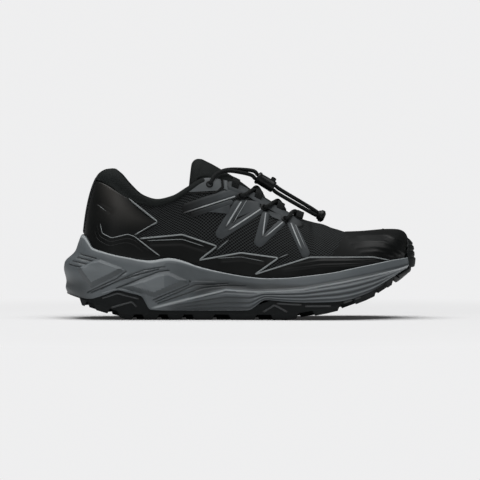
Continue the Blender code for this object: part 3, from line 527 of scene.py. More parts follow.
def two_colours(tree, mask, first, second):
    node = tree.nodes.new("ShaderNodeMix")
    node.data_type = "RGBA"
    feed(tree, mask, node.inputs["Factor"])
    for colour, label in ((first, "A"), (second, "B")):
        feed(tree, colour if isinstance(colour, bpy.types.NodeSocket) else (*colour, 1), node.inputs[label])
    return node.outputs["Result"]


def raise_bump(tree, shader, height, distance, strength):
    node = tree.nodes.new("ShaderNodeBump")
    node.inputs["Distance"].default_value = distance * MM
    node.inputs["Strength"].default_value = strength
    tree.links.new(height, node.inputs["Height"])
    tree.links.new(node.outputs["Normal"], shader.inputs["Normal"])


print("material helpers ready")

# %% [markdown]
# Grain, mesh and braid
#
# Three surface effects come back on several pieces. Pictures could be wrapped round the shoe, but
# formulas stay sharp at any distance. Grain is a fine noise for foam, rubber and film. The open mesh of
# the upper is two crossing waves, with a hole wherever both are strong. The braid is two families of
# strands that cross, fine on the knit of cuff and tongue and coarser on lace and sockliner.

# %% Surface groups
HOLE_FROM, HOLE_FULL = 0.22, 0.45
STRAND_FROM, STRAND_FULL = -0.4, 1.0
GRAIN_DETAIL = 4.0


def grain_group():
    tree, given, out = new_group("fine_grain", {"Vector": None, "Scale": 900.0}, ["Height"])
    noise = tree.nodes.new("ShaderNodeTexNoise")
    noise.inputs["Detail"].default_value = GRAIN_DETAIL
    tree.links.new(given["Vector"], noise.inputs["Vector"])
    tree.links.new(given["Scale"], noise.inputs["Scale"])
    tree.links.new(noise.outputs["Fac"], out["Height"])
    return tree


def waves(tree, given):
    """The sine along both diagonals of the cloth, for a pitch in millimetres."""
    split = tree.nodes.new("ShaderNodeSeparateXYZ")
    tree.links.new(given["Vector"], split.inputs[0])
    turn = calc(tree, "DIVIDE", math.pi, given["Pitch"])
    both = calc(tree, "ADD", split.outputs["X"], split.outputs["Y"])
    across = calc(tree, "SUBTRACT", split.outputs["X"], split.outputs["Y"])
    return [calc(tree, "SINE", calc(tree, "MULTIPLY", way, turn)) for way in (both, across)]


def mesh_group():
    tree, given, out = new_group("open_mesh", {"Vector": None, "Pitch": 2.0}, ["Hole", "Height"])
    strength = calc(tree, "ABSOLUTE", calc(tree, "MULTIPLY", *waves(tree, given)))
    hole = step_up(tree, strength, HOLE_FROM, HOLE_FULL)
    tree.links.new(hole, out["Hole"])
    tree.links.new(calc(tree, "SUBTRACT", 1.0, hole), out["Height"])
    return tree


def braid_group():
    tree, given, out = new_group("braid", {"Vector": None, "Pitch": 1.0}, ["Height"])
    high = calc(tree, "MAXIMUM", *waves(tree, given))
    tree.links.new(step_up(tree, high, STRAND_FROM, STRAND_FULL), out["Height"])
    return tree


GRAIN, OPEN_MESH, BRAID = grain_group(), mesh_group(), braid_group()
print("groups:", [group.name for group in bpy.data.node_groups])

# %% [markdown]
# Foam and rubber
#
# The foam is satin grey, with painted shade that makes it nearly black in its grooves and painted
# highlights that make it pale on its edges. The rubber is matt black. Painted pictures could carry this;
# instead each point of the mesh is marked when it is made, painted shade above zero and painted highlight
# below it, and the material reads the mark. Plain numbers stay on the shader itself.

# %% Foam and rubber
LEAST_MARK = 0.05


def grain_of(tree, scale):
    return place_group(tree, GRAIN, "Object", Scale=scale)["Height"]


def mark(tree, turn=1.0):
    """The mark that the points of a mesh carry; a turn of -1 swaps dark and pale."""
    node = tree.nodes.new("ShaderNodeAttribute")
    node.attribute_name = "shade"
    return node.outputs["Fac"] if turn > 0 else calc(tree, "MULTIPLY", node.outputs["Fac"], turn)


def dimmed(colour, share):
    return tuple(share * part for part in colour)


def paint(tree, shader, mask, first, second):
    """Colour a shader with two colours, mixed by a mask."""
    tree.links.new(two_colours(tree, mask, first, second), shader.inputs["Base Color"])


def foam_finish():
    material, tree, shader = material_of("midsole_foam", (0.1, 0.115, 0.125), roughness=0.5)
    grain, cloud = grain_of(tree, 1500.0), grain_of(tree, 60.0)
    base = two_colours(tree, cloud, (0.088, 0.102, 0.110), (0.125, 0.141, 0.150))
    # Painted shade darkens the foam where the mark is above zero, and painted highlight lightens it below
    # zero
    painted_shade_foam = two_colours(tree, step_up(tree, mark(tree), LEAST_MARK, 1.0), base, (0.02, 0.024, 0.026))
    paint(tree, shader, step_up(tree, mark(tree, -1.0), LEAST_MARK, 1.0), painted_shade_foam, (0.42, 0.45, 0.46))
    raise_bump(tree, shader, grain, distance=0.12, strength=0.5)
    return material


def rubber_finish():
    material, tree, shader = material_of("sole_rubber", (0.006, 0.0075, 0.008), roughness=0.6, specular=0.2)
    grain, cloud = grain_of(tree, 1100.0), grain_of(tree, 90.0)
    paint(tree, shader, cloud, (0.004, 0.0052, 0.0055), (0.009, 0.011, 0.0115))
    raise_bump(tree, shader, grain, distance=0.15, strength=0.6)
    return material


FOAM, RUBBER = foam_finish(), rubber_finish()
print("finishes:", FOAM.name, RUBBER.name)

# %% [markdown]
# Film, straps and lines
#
# The film on heel, toe and sides is moulded black plastic with a wet gloss. Straps are grey film that
# fades to black, and the lines are paler; the grey of the rubber's moulded edges is a painted highlight.
# They could share one material with many inputs; short functions that make a material each are easier to
# read, and they take the mark of the mesh for where a film turns matt, gets a painted highlight, or fades.

# %% Film, straps and lines
LEAST_ROUGH, CLOUD_ROUGH, MATT_ROUGH = 0.28, 0.16, 0.45


def film_finish():
    """Black film: matt where it is marked above zero, with a painted grey highlight where marked below."""
    material, tree, shader = material_of("gloss_film", (0.003, 0.0036, 0.0036), roughness=0.3, specular=0.22)
    grain, cloud = grain_of(tree, 700.0), grain_of(tree, 45.0)
    black = two_colours(tree, cloud, (0.0025, 0.003, 0.003), (0.006, 0.007, 0.0068))
    # The grey mixed in below zero is a painted reflection, used high on the sides of the heel counter
    paint(tree, shader, mark(tree, -1.0), black, (0.045, 0.043, 0.040))
    rough = calc(tree, "MULTIPLY_ADD", cloud, CLOUD_ROUGH, LEAST_ROUGH)
    matt = calc(tree, "MULTIPLY", calc(tree, "MAXIMUM", mark(tree), 0.0), MATT_ROUGH)
    tree.links.new(calc(tree, "ADD", rough, matt), shader.inputs["Roughness"])
    raise_bump(tree, shader, grain, distance=0.05, strength=0.35)
    return material


def strap_finish(name, low, high):
    """Grey film that fades to black where the ends of a strap are marked."""
    material, tree, shader = material_of(name, high, roughness=0.5, specular=0.2)
    grain, cloud = grain_of(tree, 1600.0), grain_of(tree, 120.0)
    paint(tree, shader, mark(tree), two_colours(tree, cloud, low, high), (0.004, 0.0045, 0.0045))
    raise_bump(tree, shader, grain, distance=0.08, strength=0.6)
    return material


def line_finish(name, colour):
    """An even colour with soft clouds, dark where the ends of a line are marked."""
    material, tree, shader = material_of(name, colour, roughness=0.4)
    clouded = two_colours(tree, grain_of(tree, 150.0), dimmed(colour, 0.6), colour)
    paint(tree, shader, mark(tree), clouded, (0.01, 0.01, 0.01))
    return material


FILM = film_finish()
STRAP = strap_finish("strap_film", (0.038, 0.043, 0.046), (0.064, 0.071, 0.075))
PANEL_FILM = strap_finish("panel_film", (0.075, 0.082, 0.086), (0.105, 0.114, 0.118))
# The grey of the rubber's moulded edges is a painted highlight for their lit faces
RUBBER_EDGE_HIGHLIGHT = line_finish("rubber_edge_highlight", (0.045, 0.05, 0.052))
LINE = line_finish("grey_line", (0.30, 0.325, 0.33))
BRIGHT_LINE = line_finish("light_line", (0.50, 0.53, 0.54))
print("finishes:", [finish.name for finish in (FILM, STRAP, PANEL_FILM, RUBBER_EDGE_HIGHLIGHT, LINE, BRIGHT_LINE)])

# %% [markdown]
# Mesh, knit, lace and plastic
#
# The upper is an open mesh, cuff and tongue are a fine knit, and the lace is braided. Modelling every
# thread would take millions of faces. The groups draw the threads by colour and bump instead, in
# millimetres of the UV map, so that they follow the cloth. Lock, pull and eyelets are satin plastic.


# %% Mesh, knit, lace and plastic
def mesh_finish():
    material, tree, shader = material_of("upper_mesh", (0.008, 0.0095, 0.0095), roughness=0.8, specular=0.15)
    woven = place_group(tree, OPEN_MESH, "UV", Pitch=3.0)
    paint(tree, shader, woven["Hole"], (0.034, 0.038, 0.039), (0.0012, 0.0012, 0.0012))
    raise_bump(tree, shader, woven["Height"], distance=0.5, strength=0.9)
    return material


def knit_finish(name, colour, pitch):
    material, tree, shader = material_of(name, colour, roughness=0.75, specular=0.15)
    woven = place_group(tree, BRAID, "UV", Pitch=pitch)["Height"]
    paint(tree, shader, woven, dimmed(colour, 0.5), colour)
    raise_bump(tree, shader, woven, distance=0.18, strength=0.7)
    return material


def plastic_finish():
    colour = (0.006, 0.0065, 0.0065)
    material, tree, shader = material_of("lock_plastic", colour, roughness=0.35, specular=0.22)
    grain = grain_of(tree, 2500.0)
    paint(tree, shader, grain, (0.004, 0.0045, 0.0045), (0.008, 0.009, 0.009))
    raise_bump(tree, shader, grain, distance=0.04, strength=0.5)
    return material


MESH = mesh_finish()
KNIT = knit_finish("cuff_knit", (0.010, 0.0125, 0.012), 0.9)
SOCK = knit_finish("insole_cloth", (0.018, 0.018, 0.018), 1.4)
LACE = knit_finish("lace_braid", (0.012, 0.0135, 0.0135), 1.3)
PLASTIC = plastic_finish()
print("finishes:", [finish.name for finish in (MESH, KNIT, SOCK, LACE, PLASTIC)])

# %% [markdown]
# The side of the midsole
#
# The midsole is one block of grey foam, and its side carries the shoe's look: two raised pods at the
# heel, grooves that fan out between them, a ridge along the forefoot with fine ribs below it, and a bevel
# at the top edge; ridge and top edge get painted highlights. These could be cut with booleans, which
# leave ragged meshes on a curved wall. Here relief is a small move inward or outward, worked out from
# where a point lies in the side view.

# %% Relief of the foam's side
PODS = [
    [(-133, 41), (-123, 47.5), (-114.5, 49), (-96.5, 42.8), (-94, 40), (-100, 36), (-121, 25.5)],
    [(-97, 26.5), (-64.5, 37.8), (-57.5, 38.4), (-43, 32.2), (-43.2, 29.4), (-69.5, 18.4), (-94, 25.2)],
]
POD_HEIGHT, TOP_BEVEL, LOW_BEVEL = 2.8, 1.8, 4.2
GROOVES = [
    [(-124.8, 22.4), (-100.0, 33.8), (-92.4, 39.4)],
    [(-121.5, 22.4), (-97.0, 32.4), (-80.0, 37.6), (-66.0, 41.2)],
    [(-113.0, 25.4), (-92.0, 35.2), (-78.0, 40.6), (-61.0, 43.2)],
    [(-100.0, 26.0), (-65.5, 39.4), (-57.6, 40.2)],
    [(-70.5, 16.4), (-41.4, 28.6), (-40.2, 32.2)],
    [(-68.5, 14.8), (-36.0, 28.6), (-10.0, 29.6)],
    [(-66.5, 13.6), (-30.0, 26.2), (-12.0, 28.0), (4.0, 27.6)],
    [(-135.2, 53.2), (-118.6, 49.8)], [(-136.8, 50.4), (-121.8, 47.4)],
    [(-138.6, 47.6), (-126.0, 44.8)], [(-140.4, 45.0), (-130.0, 42.4)],
]
FINS = [
    [(-120.0, 24.8), (-93.4, 37.2)], [(-110.0, 28.0), (-80.0, 39.2), (-63.0, 42.4)],
    [(-64.0, 18.0), (-37.0, 30.8), (-20.0, 30.4)],
    [(-112.0, 21.9), (-99.5, 25.4), (-83.0, 23.2), (-69.0, 19.2)],
]
RIDGE_LINE = [
    (-145, 36), (-110, 33), (-99, 33), (-90, 29), (-80, 24), (-75, 14.5), (-72, 10.4), (-11.3, 25.4),
    (6, 24.3), (15.6, 23.7), (36, 24.6), (52, 26), (88, 32.6), (108, 36.6), (128, 41.2), (145, 45.6),
]
GROOVE_DEPTH, GROOVE_WIDTH, FIN_HEIGHT, FIN_WIDTH = 1.0, 0.6, 0.45, 0.7
RIBS, RIB_DEPTH, RIB_START_X, RIB_FADE, RIB_END_X, RIB_END_FADE = 4, 0.85, -66.0, 30.0, 132.0, 20.0


def pod_rise(x, z):
    """Rise of the pods as a share of their height, and where their lower bevels are."""
    rise, low = np.zeros(np.shape(x)), np.zeros(np.shape(x), dtype=bool)
    for corners in PODS:
        points = np.array(corners, dtype=float)
        nearest, downward = np.full(np.shape(x), np.inf), np.zeros(np.shape(x), dtype=bool)
        for start, end in zip(points, np.roll(points, -1, axis=0)):
            run = (end - start) / np.linalg.norm(end - start)
            bevel = LOW_BEVEL if run[0] < 0 else TOP_BEVEL
            share = (run[1] * (x - start[0]) - run[0] * (z - start[1])) / bevel
            downward = np.where(share < nearest, run[0] < 0, downward)
            nearest = np.minimum(nearest, share)
        inside = nearest > 0
        rise = np.where(inside, np.clip(nearest, 0, 1), rise)
        low |= inside & downward & (nearest < 1)
    return rise, low


def near_line(points, x, z):
    """Distance to a broken line in the side view."""
    best = np.full(np.shape(x), np.inf)
    for (ax, az), (bx, bz) in zip(points, points[1:]):
        run_x, run_z = bx - ax, bz - az
        share = np.clip(((x - ax) * run_x + (z - az) * run_z) / (run_x ** 2 + run_z ** 2), 0, 1)
        best = np.minimum(best, np.hypot(x - ax - share * run_x, z - az - share * run_z))
    return best


def soft_peak(distance, width):
    """One at no distance, and falling away smoothly to both sides."""
    return np.exp(-(distance / width) ** 2)


def along_lines(lines, width, x, z):
    """One on any of the lines, and less at their sides."""
    return np.max([soft_peak(near_line(points, x, z), width) for points in lines], axis=0)


def ribs(x, share):
    """Waves below the ridge, for a share of the way from the foam's bottom edge up to the ridge."""
    fade = np.clip((x - RIB_START_X) / RIB_FADE, 0, 1) * np.clip((RIB_END_X - x) / RIB_END_FADE, 0, 1)
    return fade * (0.5 - 0.5 * np.cos(2 * math.pi * RIBS * share)) * (share < 1)


print("pods:", len(PODS), "grooves:", len(GROOVES), "fins:", len(FINS), "ribs:", RIBS)

# %% [markdown]
# The midsole
# The block of foam is a cup: side, rim, footbed and underside. Its side is a ring-shaped sheet with many
# rows, enough for the finest groove. Each point is also marked, so that the material paints shade into
# the grooves and the band above the ridge, and paints highlights on ridge, ribs and top edge. The other
# three sheets close the cup.

# %% Side of the foam
RIDGE_AT, RIDGE_PROUD, RIDGE_WIDTH, RIDGE_GLEAM = 0.4, 0.5, 0.9, 1.2
RIM_ROUND = 0.5
ON_POD = 0.05
# Strengths of the painted highlights (PALE) and of the painted shade (DARK) on the foam's side
RIDGE_PALE, TOP_PALE, HEEL_PALE, FIN_PALE, POD_PALE, RIB_PALE = 0.8, 0.95, 0.3, 0.4, 0.24, 0.36
CUT_DARK, WAVE_DARK, BEVEL_DARK = 0.95, 0.78, 0.55
SHADE_DARK, BAND_DARK, ARCH_DARK, HEEL_DARK = 0.82, 0.42, 0.6, 0.62
PALE_WINS = 0.8
# Along the shoe, where a change starts and is complete
RIDGE_IN, BAND_IN, SHADE_IN, ARCH_IN = (-76, -66), (-75, -45), (-60, -25), (-70, -50)
HEEL_OUT, ARCH_OUT, LEAN_IN, HEEL_BACK = (-60, -30), (-5, 22), (20, 60), (112, 132)
# Up the side, the same as shares of the way
CORNER_UP, EDGE_UP, BAND_UP, HEEL_UP, ARCH_UP, RIB_UP = (
    (0.985, 1.0), (0.955, 0.985), (0.93, 0.95), (0.55, 1.0), (0.55, 0.95), (0.05, 0.2))
HEEL_DOWN = (-40, -28)
SHADE_UP, SHADE_DROP = (0.3, 1.0), (0.25, 0.5)
BEHIND_DIM = 0.75


def ease(value, low, high):
    share = np.clip((value - low) / (high - low), 0, 1)
    return share * share * (3 - 2 * share)


def foam_side(u, v):
    """Places and marks of the foam's side: u runs round the shoe and v from the bottom edge to the rim."""
    column = step_of(u, COUNT) % COUNT
    x = EDGE[column, 0]
    foam, rim = (SOLE_HEIGHTS.at(name, x) for name in ("foam", "rim"))
    ridge = np.interp(x, *np.transpose(RIDGE_LINE))
    below, above = np.clip(v / RIDGE_AT, 0, 1), np.clip((v - RIDGE_AT) / (1 - RIDGE_AT), 0, 1)
    height = foam + (ridge - foam) * below + (rim - ridge) * above
    pod, low_bevel = pod_rise(x, height)
    cut = along_lines(GROOVES, GROOVE_WIDTH, x, height) * (pod < ON_POD)
    fin = along_lines(FINS, FIN_WIDTH, x, height) * (pod < ON_POD)
    wave = ribs(x, below)
    forward = ease(x, *RIDGE_IN)
    on_ridge = soft_peak(height - ridge, RIDGE_WIDTH) * forward
    ridge_light = soft_peak(height - ridge + RIDGE_WIDTH, RIDGE_GLEAM) * forward
    inset = side_inset((height - foam) / (rim - foam), column)
    inset += GROOVE_DEPTH * cut + RIB_DEPTH * wave
    inset -= POD_HEIGHT * pod + FIN_HEIGHT * fin + RIDGE_PROUD * on_ridge
    inset += RIM_ROUND * ease(v, *CORNER_UP)
    flat = EDGE[column] - NORMALS[column] * inset[:, None]
    # Painted highlights: the top edge, most of all at the heel, and the crests of the ribs
    top_light = TOP_PALE * ease(v, *EDGE_UP)
    top_light += HEEL_PALE * ease(above, *HEEL_UP) * (1 - ease(x, *HEEL_OUT))
    behind = 1 - ease(x, *ARCH_OUT)
    rib_crest = RIB_PALE * (0.5 + 0.5 * np.cos(2 * math.pi * RIBS * below)) * (wave > 0)
    rib_crest *= ease(below, *RIB_UP) * (1 - BEHIND_DIM * behind)
    # Painted shade: the hollow over the ridge, the band above it, the low arch and the low heel
    lean = ease(x, *LEAN_IN)
    shade_up = [up - drop * lean for up, drop in zip(SHADE_UP, SHADE_DROP)]
    over_ridge = SHADE_DARK * (1 - ease(above, *shade_up))
    over_ridge *= ease(x, *SHADE_IN) * (v > RIDGE_AT)
    band = BAND_DARK * (1 - lean) * ease(x, *BAND_IN) * (v > RIDGE_AT) * (1 - ease(v, *BAND_UP))
    low_arch = ARCH_DARK * behind * ease(x, *ARCH_IN) * (1 - ease(below, *ARCH_UP))
    low_heel = HEEL_DARK * ease(-x, *HEEL_BACK) * ease(-height, *HEEL_DOWN)
    pod_face = POD_PALE * (pod > ON_POD) * ~low_bevel
    # Painted highlights also on ridge, fins and the flats of the pods; painted shade also in the grooves, the
    # troughs of the ribs and the lower bevels of the pods
    painted_light = np.maximum.reduce([RIDGE_PALE * ridge_light, top_light, FIN_PALE * fin, pod_face, rib_crest])
    dark = np.maximum.reduce([
        CUT_DARK * cut, WAVE_DARK * wave, over_ridge, band, low_arch, low_heel, BEVEL_DARK * low_bevel,
    ])
    dark *= 1 - ridge_light
    return np.column_stack([flat, height]), np.where(PALE_WINS * painted_light > dark, -painted_light, dark)


places, marks = foam_side(np.linspace(0, 1, COUNT, endpoint=False), np.full(COUNT, RIDGE_AT))
heights = places[:, 2]
print("ridge from", heights.min().round(1), "to", heights.max().round(1), "mark:", marks.min().round(2))

# %% Midsole
SIDE_ROWS, RIM_ROWS, FLAT_ROWS = 84, 10, 8
RIM_CURVE = ([0, 0.3, 0.7, 1], [RIM_ROUND, 1.0, RIM_WALL, RIM_WALL])
RIM_TOP = 0.7


def foam_rim(u, v):
    """Over the top of the rim and down its inside to the footbed."""
    column = step_of(u, COUNT) % COUNT
    inset = RIM_INSET[column] + np.interp(v, *RIM_CURVE)
    foot, rim = (SOLE_HEIGHTS.at(name, EDGE[column, 0]) for name in ("foot", "rim"))
    height = rim + (foot - rim) * np.clip((v - RIM_TOP) / (1 - RIM_TOP), 0, 1)
    return np.column_stack([EDGE[column] - NORMALS[column] * inset[:, None], height])


def across_sole(inset, column_name, rise=0.0):
    """A sheet from the lateral to the medial side of a ring: u runs along the shoe and v across it."""
    ring = inset_ring(inset)
    heights = SOLE_HEIGHTS.at(column_name, EDGE[:, 0]) + rise

    def place(u, v):
        station = step_of(u, LAST)
        lateral, medial = LAST - station, (LAST + station) % COUNT
        flat = ring[lateral] * (1 - v)[:, None] + ring[medial] * v[:, None]
        return np.column_stack([flat, heights[lateral]])

    return place


midsole_bm = bent_grid(COUNT, SIDE_ROWS, lambda u, v: foam_side(u, v)[0], uv_size=(800, 40),
                       shade=lambda u, v: foam_side(u, v)[1])
bent_grid(COUNT, RIM_ROWS, foam_rim, uv_size=(800, 10), into=midsole_bm)
footbed = across_sole(RIM_INSET + RIM_WALL, "foot")
underside = across_sole(side_inset(np.zeros(COUNT)), "foam")
for flat_place in (footbed, underside):
    bent_grid(LAST, FLAT_ROWS, flat_place, uv_size=(290, 90), into=midsole_bm)
close_up(midsole_bm)
make_piece("midsole_block", midsole_bm, FOAM, ["midsole"], sharp=FEW_EDGES)

# %% [markdown]
# Outsole
#
# The outsole is a lugged rubber sheet, and the solid model has its real form, so it keeps its mesh and
# only gets a finish. It could be modelled anew, but nothing would be gained. Two slanted bars are added
# in each channel between its lugs, where a real tread is staggered; the channels are found by looking at
# the mesh from below.

# %% Outsole
BAR_REACH, BAR_WIDTH, BAR_DEPTH, BAR_RISE, BAR_TILT = 15.0, 3.6, 5.0, 1.0, math.radians(18)
BAR_BEVEL = 0.5
FACING_DOWN, LUG_REACH, LEAST_CHANNEL = -0.8, 2.0, 0.5


def refinish(node, material):
    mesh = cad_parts[node].data
    mesh.materials.clear()
    mesh.materials.append(material)
    return mesh


def channels(mesh):
    """Middles of the gaps that run straight across between the lugs."""
    spans = []
    for face in mesh.polygons:
        middle = face.center / MM
        low = float(SOLE_HEIGHTS.at("floor", middle.x))
        if face.normal.z < FACING_DOWN and middle.z < low + LUG_REACH:
            xs = [mesh.vertices[i].co.x / MM for i in face.vertices]
            spans.append((min(xs), max(xs)))
    spans.sort()
    found, reach = [], spans[0][1]
    for low, high in spans:
        if low > reach + LEAST_CHANNEL:
            found.append(0.5 * (low + reach))
        reach = max(reach, high)
    return found


def build_bars(mesh):
    """Two slanted bars in each channel, that meet in a shallow V."""
    bm = bmesh.new()
    bm.loops.layers.uv.verify()
    for x in channels(mesh):
        floor_z, middle = float(SOLE_HEIGHTS.at("floor", x)), float(centre_line(x))
        for side in SIDES.values():
            made = bmesh.ops.create_cube(bm, size=1.0)["verts"]
            bmesh.ops.scale(bm, verts=made, vec=(BAR_WIDTH, BAR_REACH, BAR_DEPTH))
            bmesh.ops.rotate(bm, verts=made, matrix=Matrix.Rotation(side * BAR_TILT, 3, "Z"))
            place = (x, middle + side * 0.5 * BAR_REACH, floor_z + BAR_RISE + BAR_DEPTH / 2)
            bmesh.ops.translate(bm, verts=made, vec=place)
    bmesh.ops.bevel(bm, geom=bm.edges[:], offset=BAR_BEVEL, segments=2, profile=0.5, affect="EDGES",
                    material=-1)
    make_piece("tread_bars", bm, RUBBER)


outsole_mesh = refinish("outsole", RUBBER)
build_bars(outsole_mesh)

# %% [markdown]
# Toe guard
#
# Rubber wraps up over the toe in four steps, and carries on under the tip. Steps cut into a solid would
# be hard to keep even round the curve. The guard is two sheets that follow the sole's edge: one table
# gives how far each height stands off it, another hangs the rubber below the foam. Both run out at the
# sides of the toe.

# %% Toe guard
GUARD_OFF = Table("height off", [
    (41.6, -0.6), (42.2, 1.9), (43, 2.7), (46, 3.2), (48.8, 3.4), (49.6, 3.3), (50.2, 2.3), (51.0, 2.2),
    (51.6, 2.7), (54.5, 2.5), (55.1, 1.7), (55.9, 1.7), (56.5, 2.3), (59.3, 1.8), (59.9, 1.0), (60.7, 0.9),
    (61.3, 1.2), (64, -0.6), (65.5, -2.2), (67.6, -5.2),
])
GUARD_COLUMNS, GUARD_ROWS, GUARD_HIGH, GUARD_END, GUARD_LOW = 32, 64, 67.6, 50.6, 42.0
GUARD_WALL, GUARD_LEAN, LEAN_FROM, GUARD_SINK, GUARD_FADE = 2.6, 0.3, 51, 0.3, 2.5
TIP = Table("row inset drop", [
    (0, 14.0, -0.8), (1, 13.2, 3.0), (2, 12.6, 5.0), (3, 11.6, 5.2), (5, 8.0, 4.4), (7, 4.0, 3.0),
    (8, 3.2, 2.8), (9, 3.0, 2.2), (10, 2.2, 2.2), (11, 1.4, 2.2), (12, 0.8, 1.8), (13, 0.4, 0.8),
    (14, 0.2, -1.0), (15, 0.6, -2.2),
])
TIP_COLUMNS, TIP_ROWS, TIP_LAST, TIP_SINK, TIP_DRAW, TIP_FADE = 62, 45, 15, 0.9, 0.6, 3


def round_toe(u, columns):
    """Columns round the toe, and how far to the side they are as a share."""
    t = 2 * u - 1
    return step_of(t, columns) % COUNT, np.abs(t)


def guard_place(u, v):
    """Columns round the toe; the guard is highest and thickest in front."""
    column, aside = round_toe(u, GUARD_COLUMNS)
    fade = aside ** GUARD_FADE
    height = GUARD_LOW + (GUARD_HIGH + (GUARD_END - GUARD_HIGH) * fade - GUARD_LOW) * v
    off = GUARD_OFF.at("off", height) * (1 - fade) - GUARD_SINK * fade
    off -= GUARD_LEAN * aside * np.maximum(height - LEAN_FROM, 0)
    return np.column_stack([EDGE[column] + NORMALS[column] * off[:, None], height])


def tip_place(u, v):
    """The rubber under the tip, hung below the foam's bottom edge and running out at both sides."""
    column, aside = round_toe(u, TIP_COLUMNS)
    fade = aside ** TIP_FADE
    inset = TIP.at("inset", TIP_LAST * v) * (1 - TIP_DRAW * fade) + TIP_DRAW * fade
    flat = EDGE[column] - NORMALS[column] * inset[:, None]
    drop = TIP.at("drop", TIP_LAST * v) * (1 - fade) - TIP_SINK * fade
    return np.column_stack([flat, SOLE_HEIGHTS.at("foam", flat[:, 0]) - drop])


guard_bm = bent_grid(2 * GUARD_COLUMNS, GUARD_ROWS, guard_place, uv_size=(60, 26))
bent_grid(2 * TIP_COLUMNS, TIP_ROWS, tip_place, uv_size=(80, 26), into=guard_bm)
bmesh.ops.reverse_faces(guard_bm, faces=guard_bm.faces)
guard = make_piece("toe_guard", guard_bm, RUBBER, ["toe_bumper"], sharp=FEW_EDGES)
add_wall(guard, GUARD_WALL)
print("guard from", EDGE[GUARD_COLUMNS].round(1), "to", EDGE[-GUARD_COLUMNS].round(1))

# %% [markdown]
# Sockliner
#
# A loose cloth liner lies on the footbed, and its border turns up a little against the wall of the shoe.
# A flat sheet would leave a hard corner there. The footbed's own sheet is used again, lifted by the
# liner's thickness, with a lip that rises steeply near the border.

# %% Sockliner
LINER_GAP, LINER_WALL, LINER_LIP = 0.5, 3.0, 2.2
LIP_POWER, LIP_ENDS = 6, 14

liner_flat = across_sole(RIM_INSET + RIM_WALL + LINER_GAP, "foot", LINER_WALL + LINER_GAP)


def liner_place(u, v):
    points = liner_flat(u, v)
    sides = np.abs(2 * v - 1) ** LIP_POWER
    ends = np.clip(1 - np.minimum(u, 1 - u) * LIP_ENDS, 0, 1) ** 2
    points[:, 2] += LINER_LIP * np.maximum(sides, ends)
    return points


liner_bm = bent_grid(along=240, across=40, place=liner_place, uv_size=(280, 80))
close_up(liner_bm)
add_wall(make_piece("sockliner", liner_bm, SOCK, ["insole"]), LINER_WALL)

# %% [markdown]
# The upper
#
# The upper is a hollow skin of mesh cloth that stands on the sole's edge and leans in towards the foot.
# It could be sculpted, but then nothing else would know where its surface is. Each section is a rounded
# line from the sole's edge up to the collar, the throat or the ridge of the vamp. The sections are worked
# out once on a close grid, together with the direction out of the cloth, and a few soft creases are
# pressed into it.

# %% Sections of the upper
SHARE_STEPS, ROWS = 4, 80
SHARES = np.linspace(0, 100, 100 * SHARE_STEPS + 1)
BEND = np.linspace(0, math.pi / 2, 120)
HALVES = {-1: np.arange(LAST, -1, -1), 1: np.arange(LAST, LAST + LAST + 1) % COUNT}


def lengths_along(points):
    """Way from the first point of a line to each of its points."""
    return np.concatenate([[0], np.cumsum(np.linalg.norm(np.diff(points, axis=0), axis=1))])


def points_along(points, length, at):
    """Points at given ways along a line."""
    return np.column_stack([np.interp(at, length, points[:, k]) for k in range(points.shape[1])])


def upper_half(side):
    """Points of one half of the upper, from the heel to the toe and from the sole's edge to the top."""
    columns = HALVES[side]
    line = FEATHER[columns]
    along = lengths_along(line)
    along *= 100 / along[-1]
    x, y, edge_x = points_along(np.column_stack([line, EDGE[columns, 0]]), along, SHARES).T
    bottom = np.column_stack([x, y, SOLE_HEIGHTS.at("foot", edge_x) + GAP])
    names = ("x", "half", "height", "power")
    top_x, half, height, power = (UPPER_SECTIONS.at(name, SHARES) for name in names)
    top = np.column_stack([top_x, centre_line(top_x) + side * half, height])
    grid = np.zeros((len(SHARES), ROWS + 1, 3))
    for i in range(len(SHARES)):
        lean = (1 - np.cos(BEND) ** (2 / power[i]))[:, None]
        rise = (np.sin(BEND) ** (2 / power[i]))[:, None]
        points = bottom[i] + (top[i] - bottom[i]) * np.hstack([lean, lean, rise])
        length = lengths_along(points)
        grid[i] = points_along(points, length, np.linspace(0, length[-1], ROWS + 1))
    return grid


def outward(grid):
    """Direction out of the cloth at each point of a grid."""
    out = np.cross(np.gradient(grid, axis=0), np.gradient(grid, axis=1))
    out /= np.maximum(np.linalg.norm(out, axis=2), 1e-9)[:, :, None]
    middle = out[len(grid) // 2, ROWS // 3]
    return out if middle[0] < 0 else -out


# Soft creases: ends in x and z, depth (below zero for ridges) and width
CREASES = [
    ((62, 75), (70, 56), 0.7, 4.0), ((74, 72), (80, 55), 0.6, 3.5), ((50, 70), (60, 50), -0.4, 5.0),
    ((-112, 92), (-106, 88), 0.8, 2.2), ((-60, 88), (-30, 78), 0.5, 6.0), ((-72, 70), (-40, 62), -0.4, 6.0),
]
SKIN = np.concatenate([upper_half(-1)[::-1], upper_half(1)[1:]])
SKIN_OUT = outward(SKIN)
for start, end, depth, width in CREASES:
    pressed_in = depth * soft_peak(near_line([start, end], SKIN[:, :, 0], SKIN[:, :, 2]), width)
    SKIN = SKIN - SKIN_OUT * pressed_in[:, :, None]
SKIN_OUT = outward(SKIN)
print("skin of the upper:", SKIN.shape)

# %% [markdown]
# Looking up places on the upper
#
# Films, straps, lines, cuff and lace all lie on the upper. They could be shrink-wrapped onto it, which
# slides their edges about. Instead each of them looks up its places in the grid of the upper, either by a
# share of the way along the sole's edge and up the section, or by where a point is seen from the side.
# Nothing floats or sinks that way.


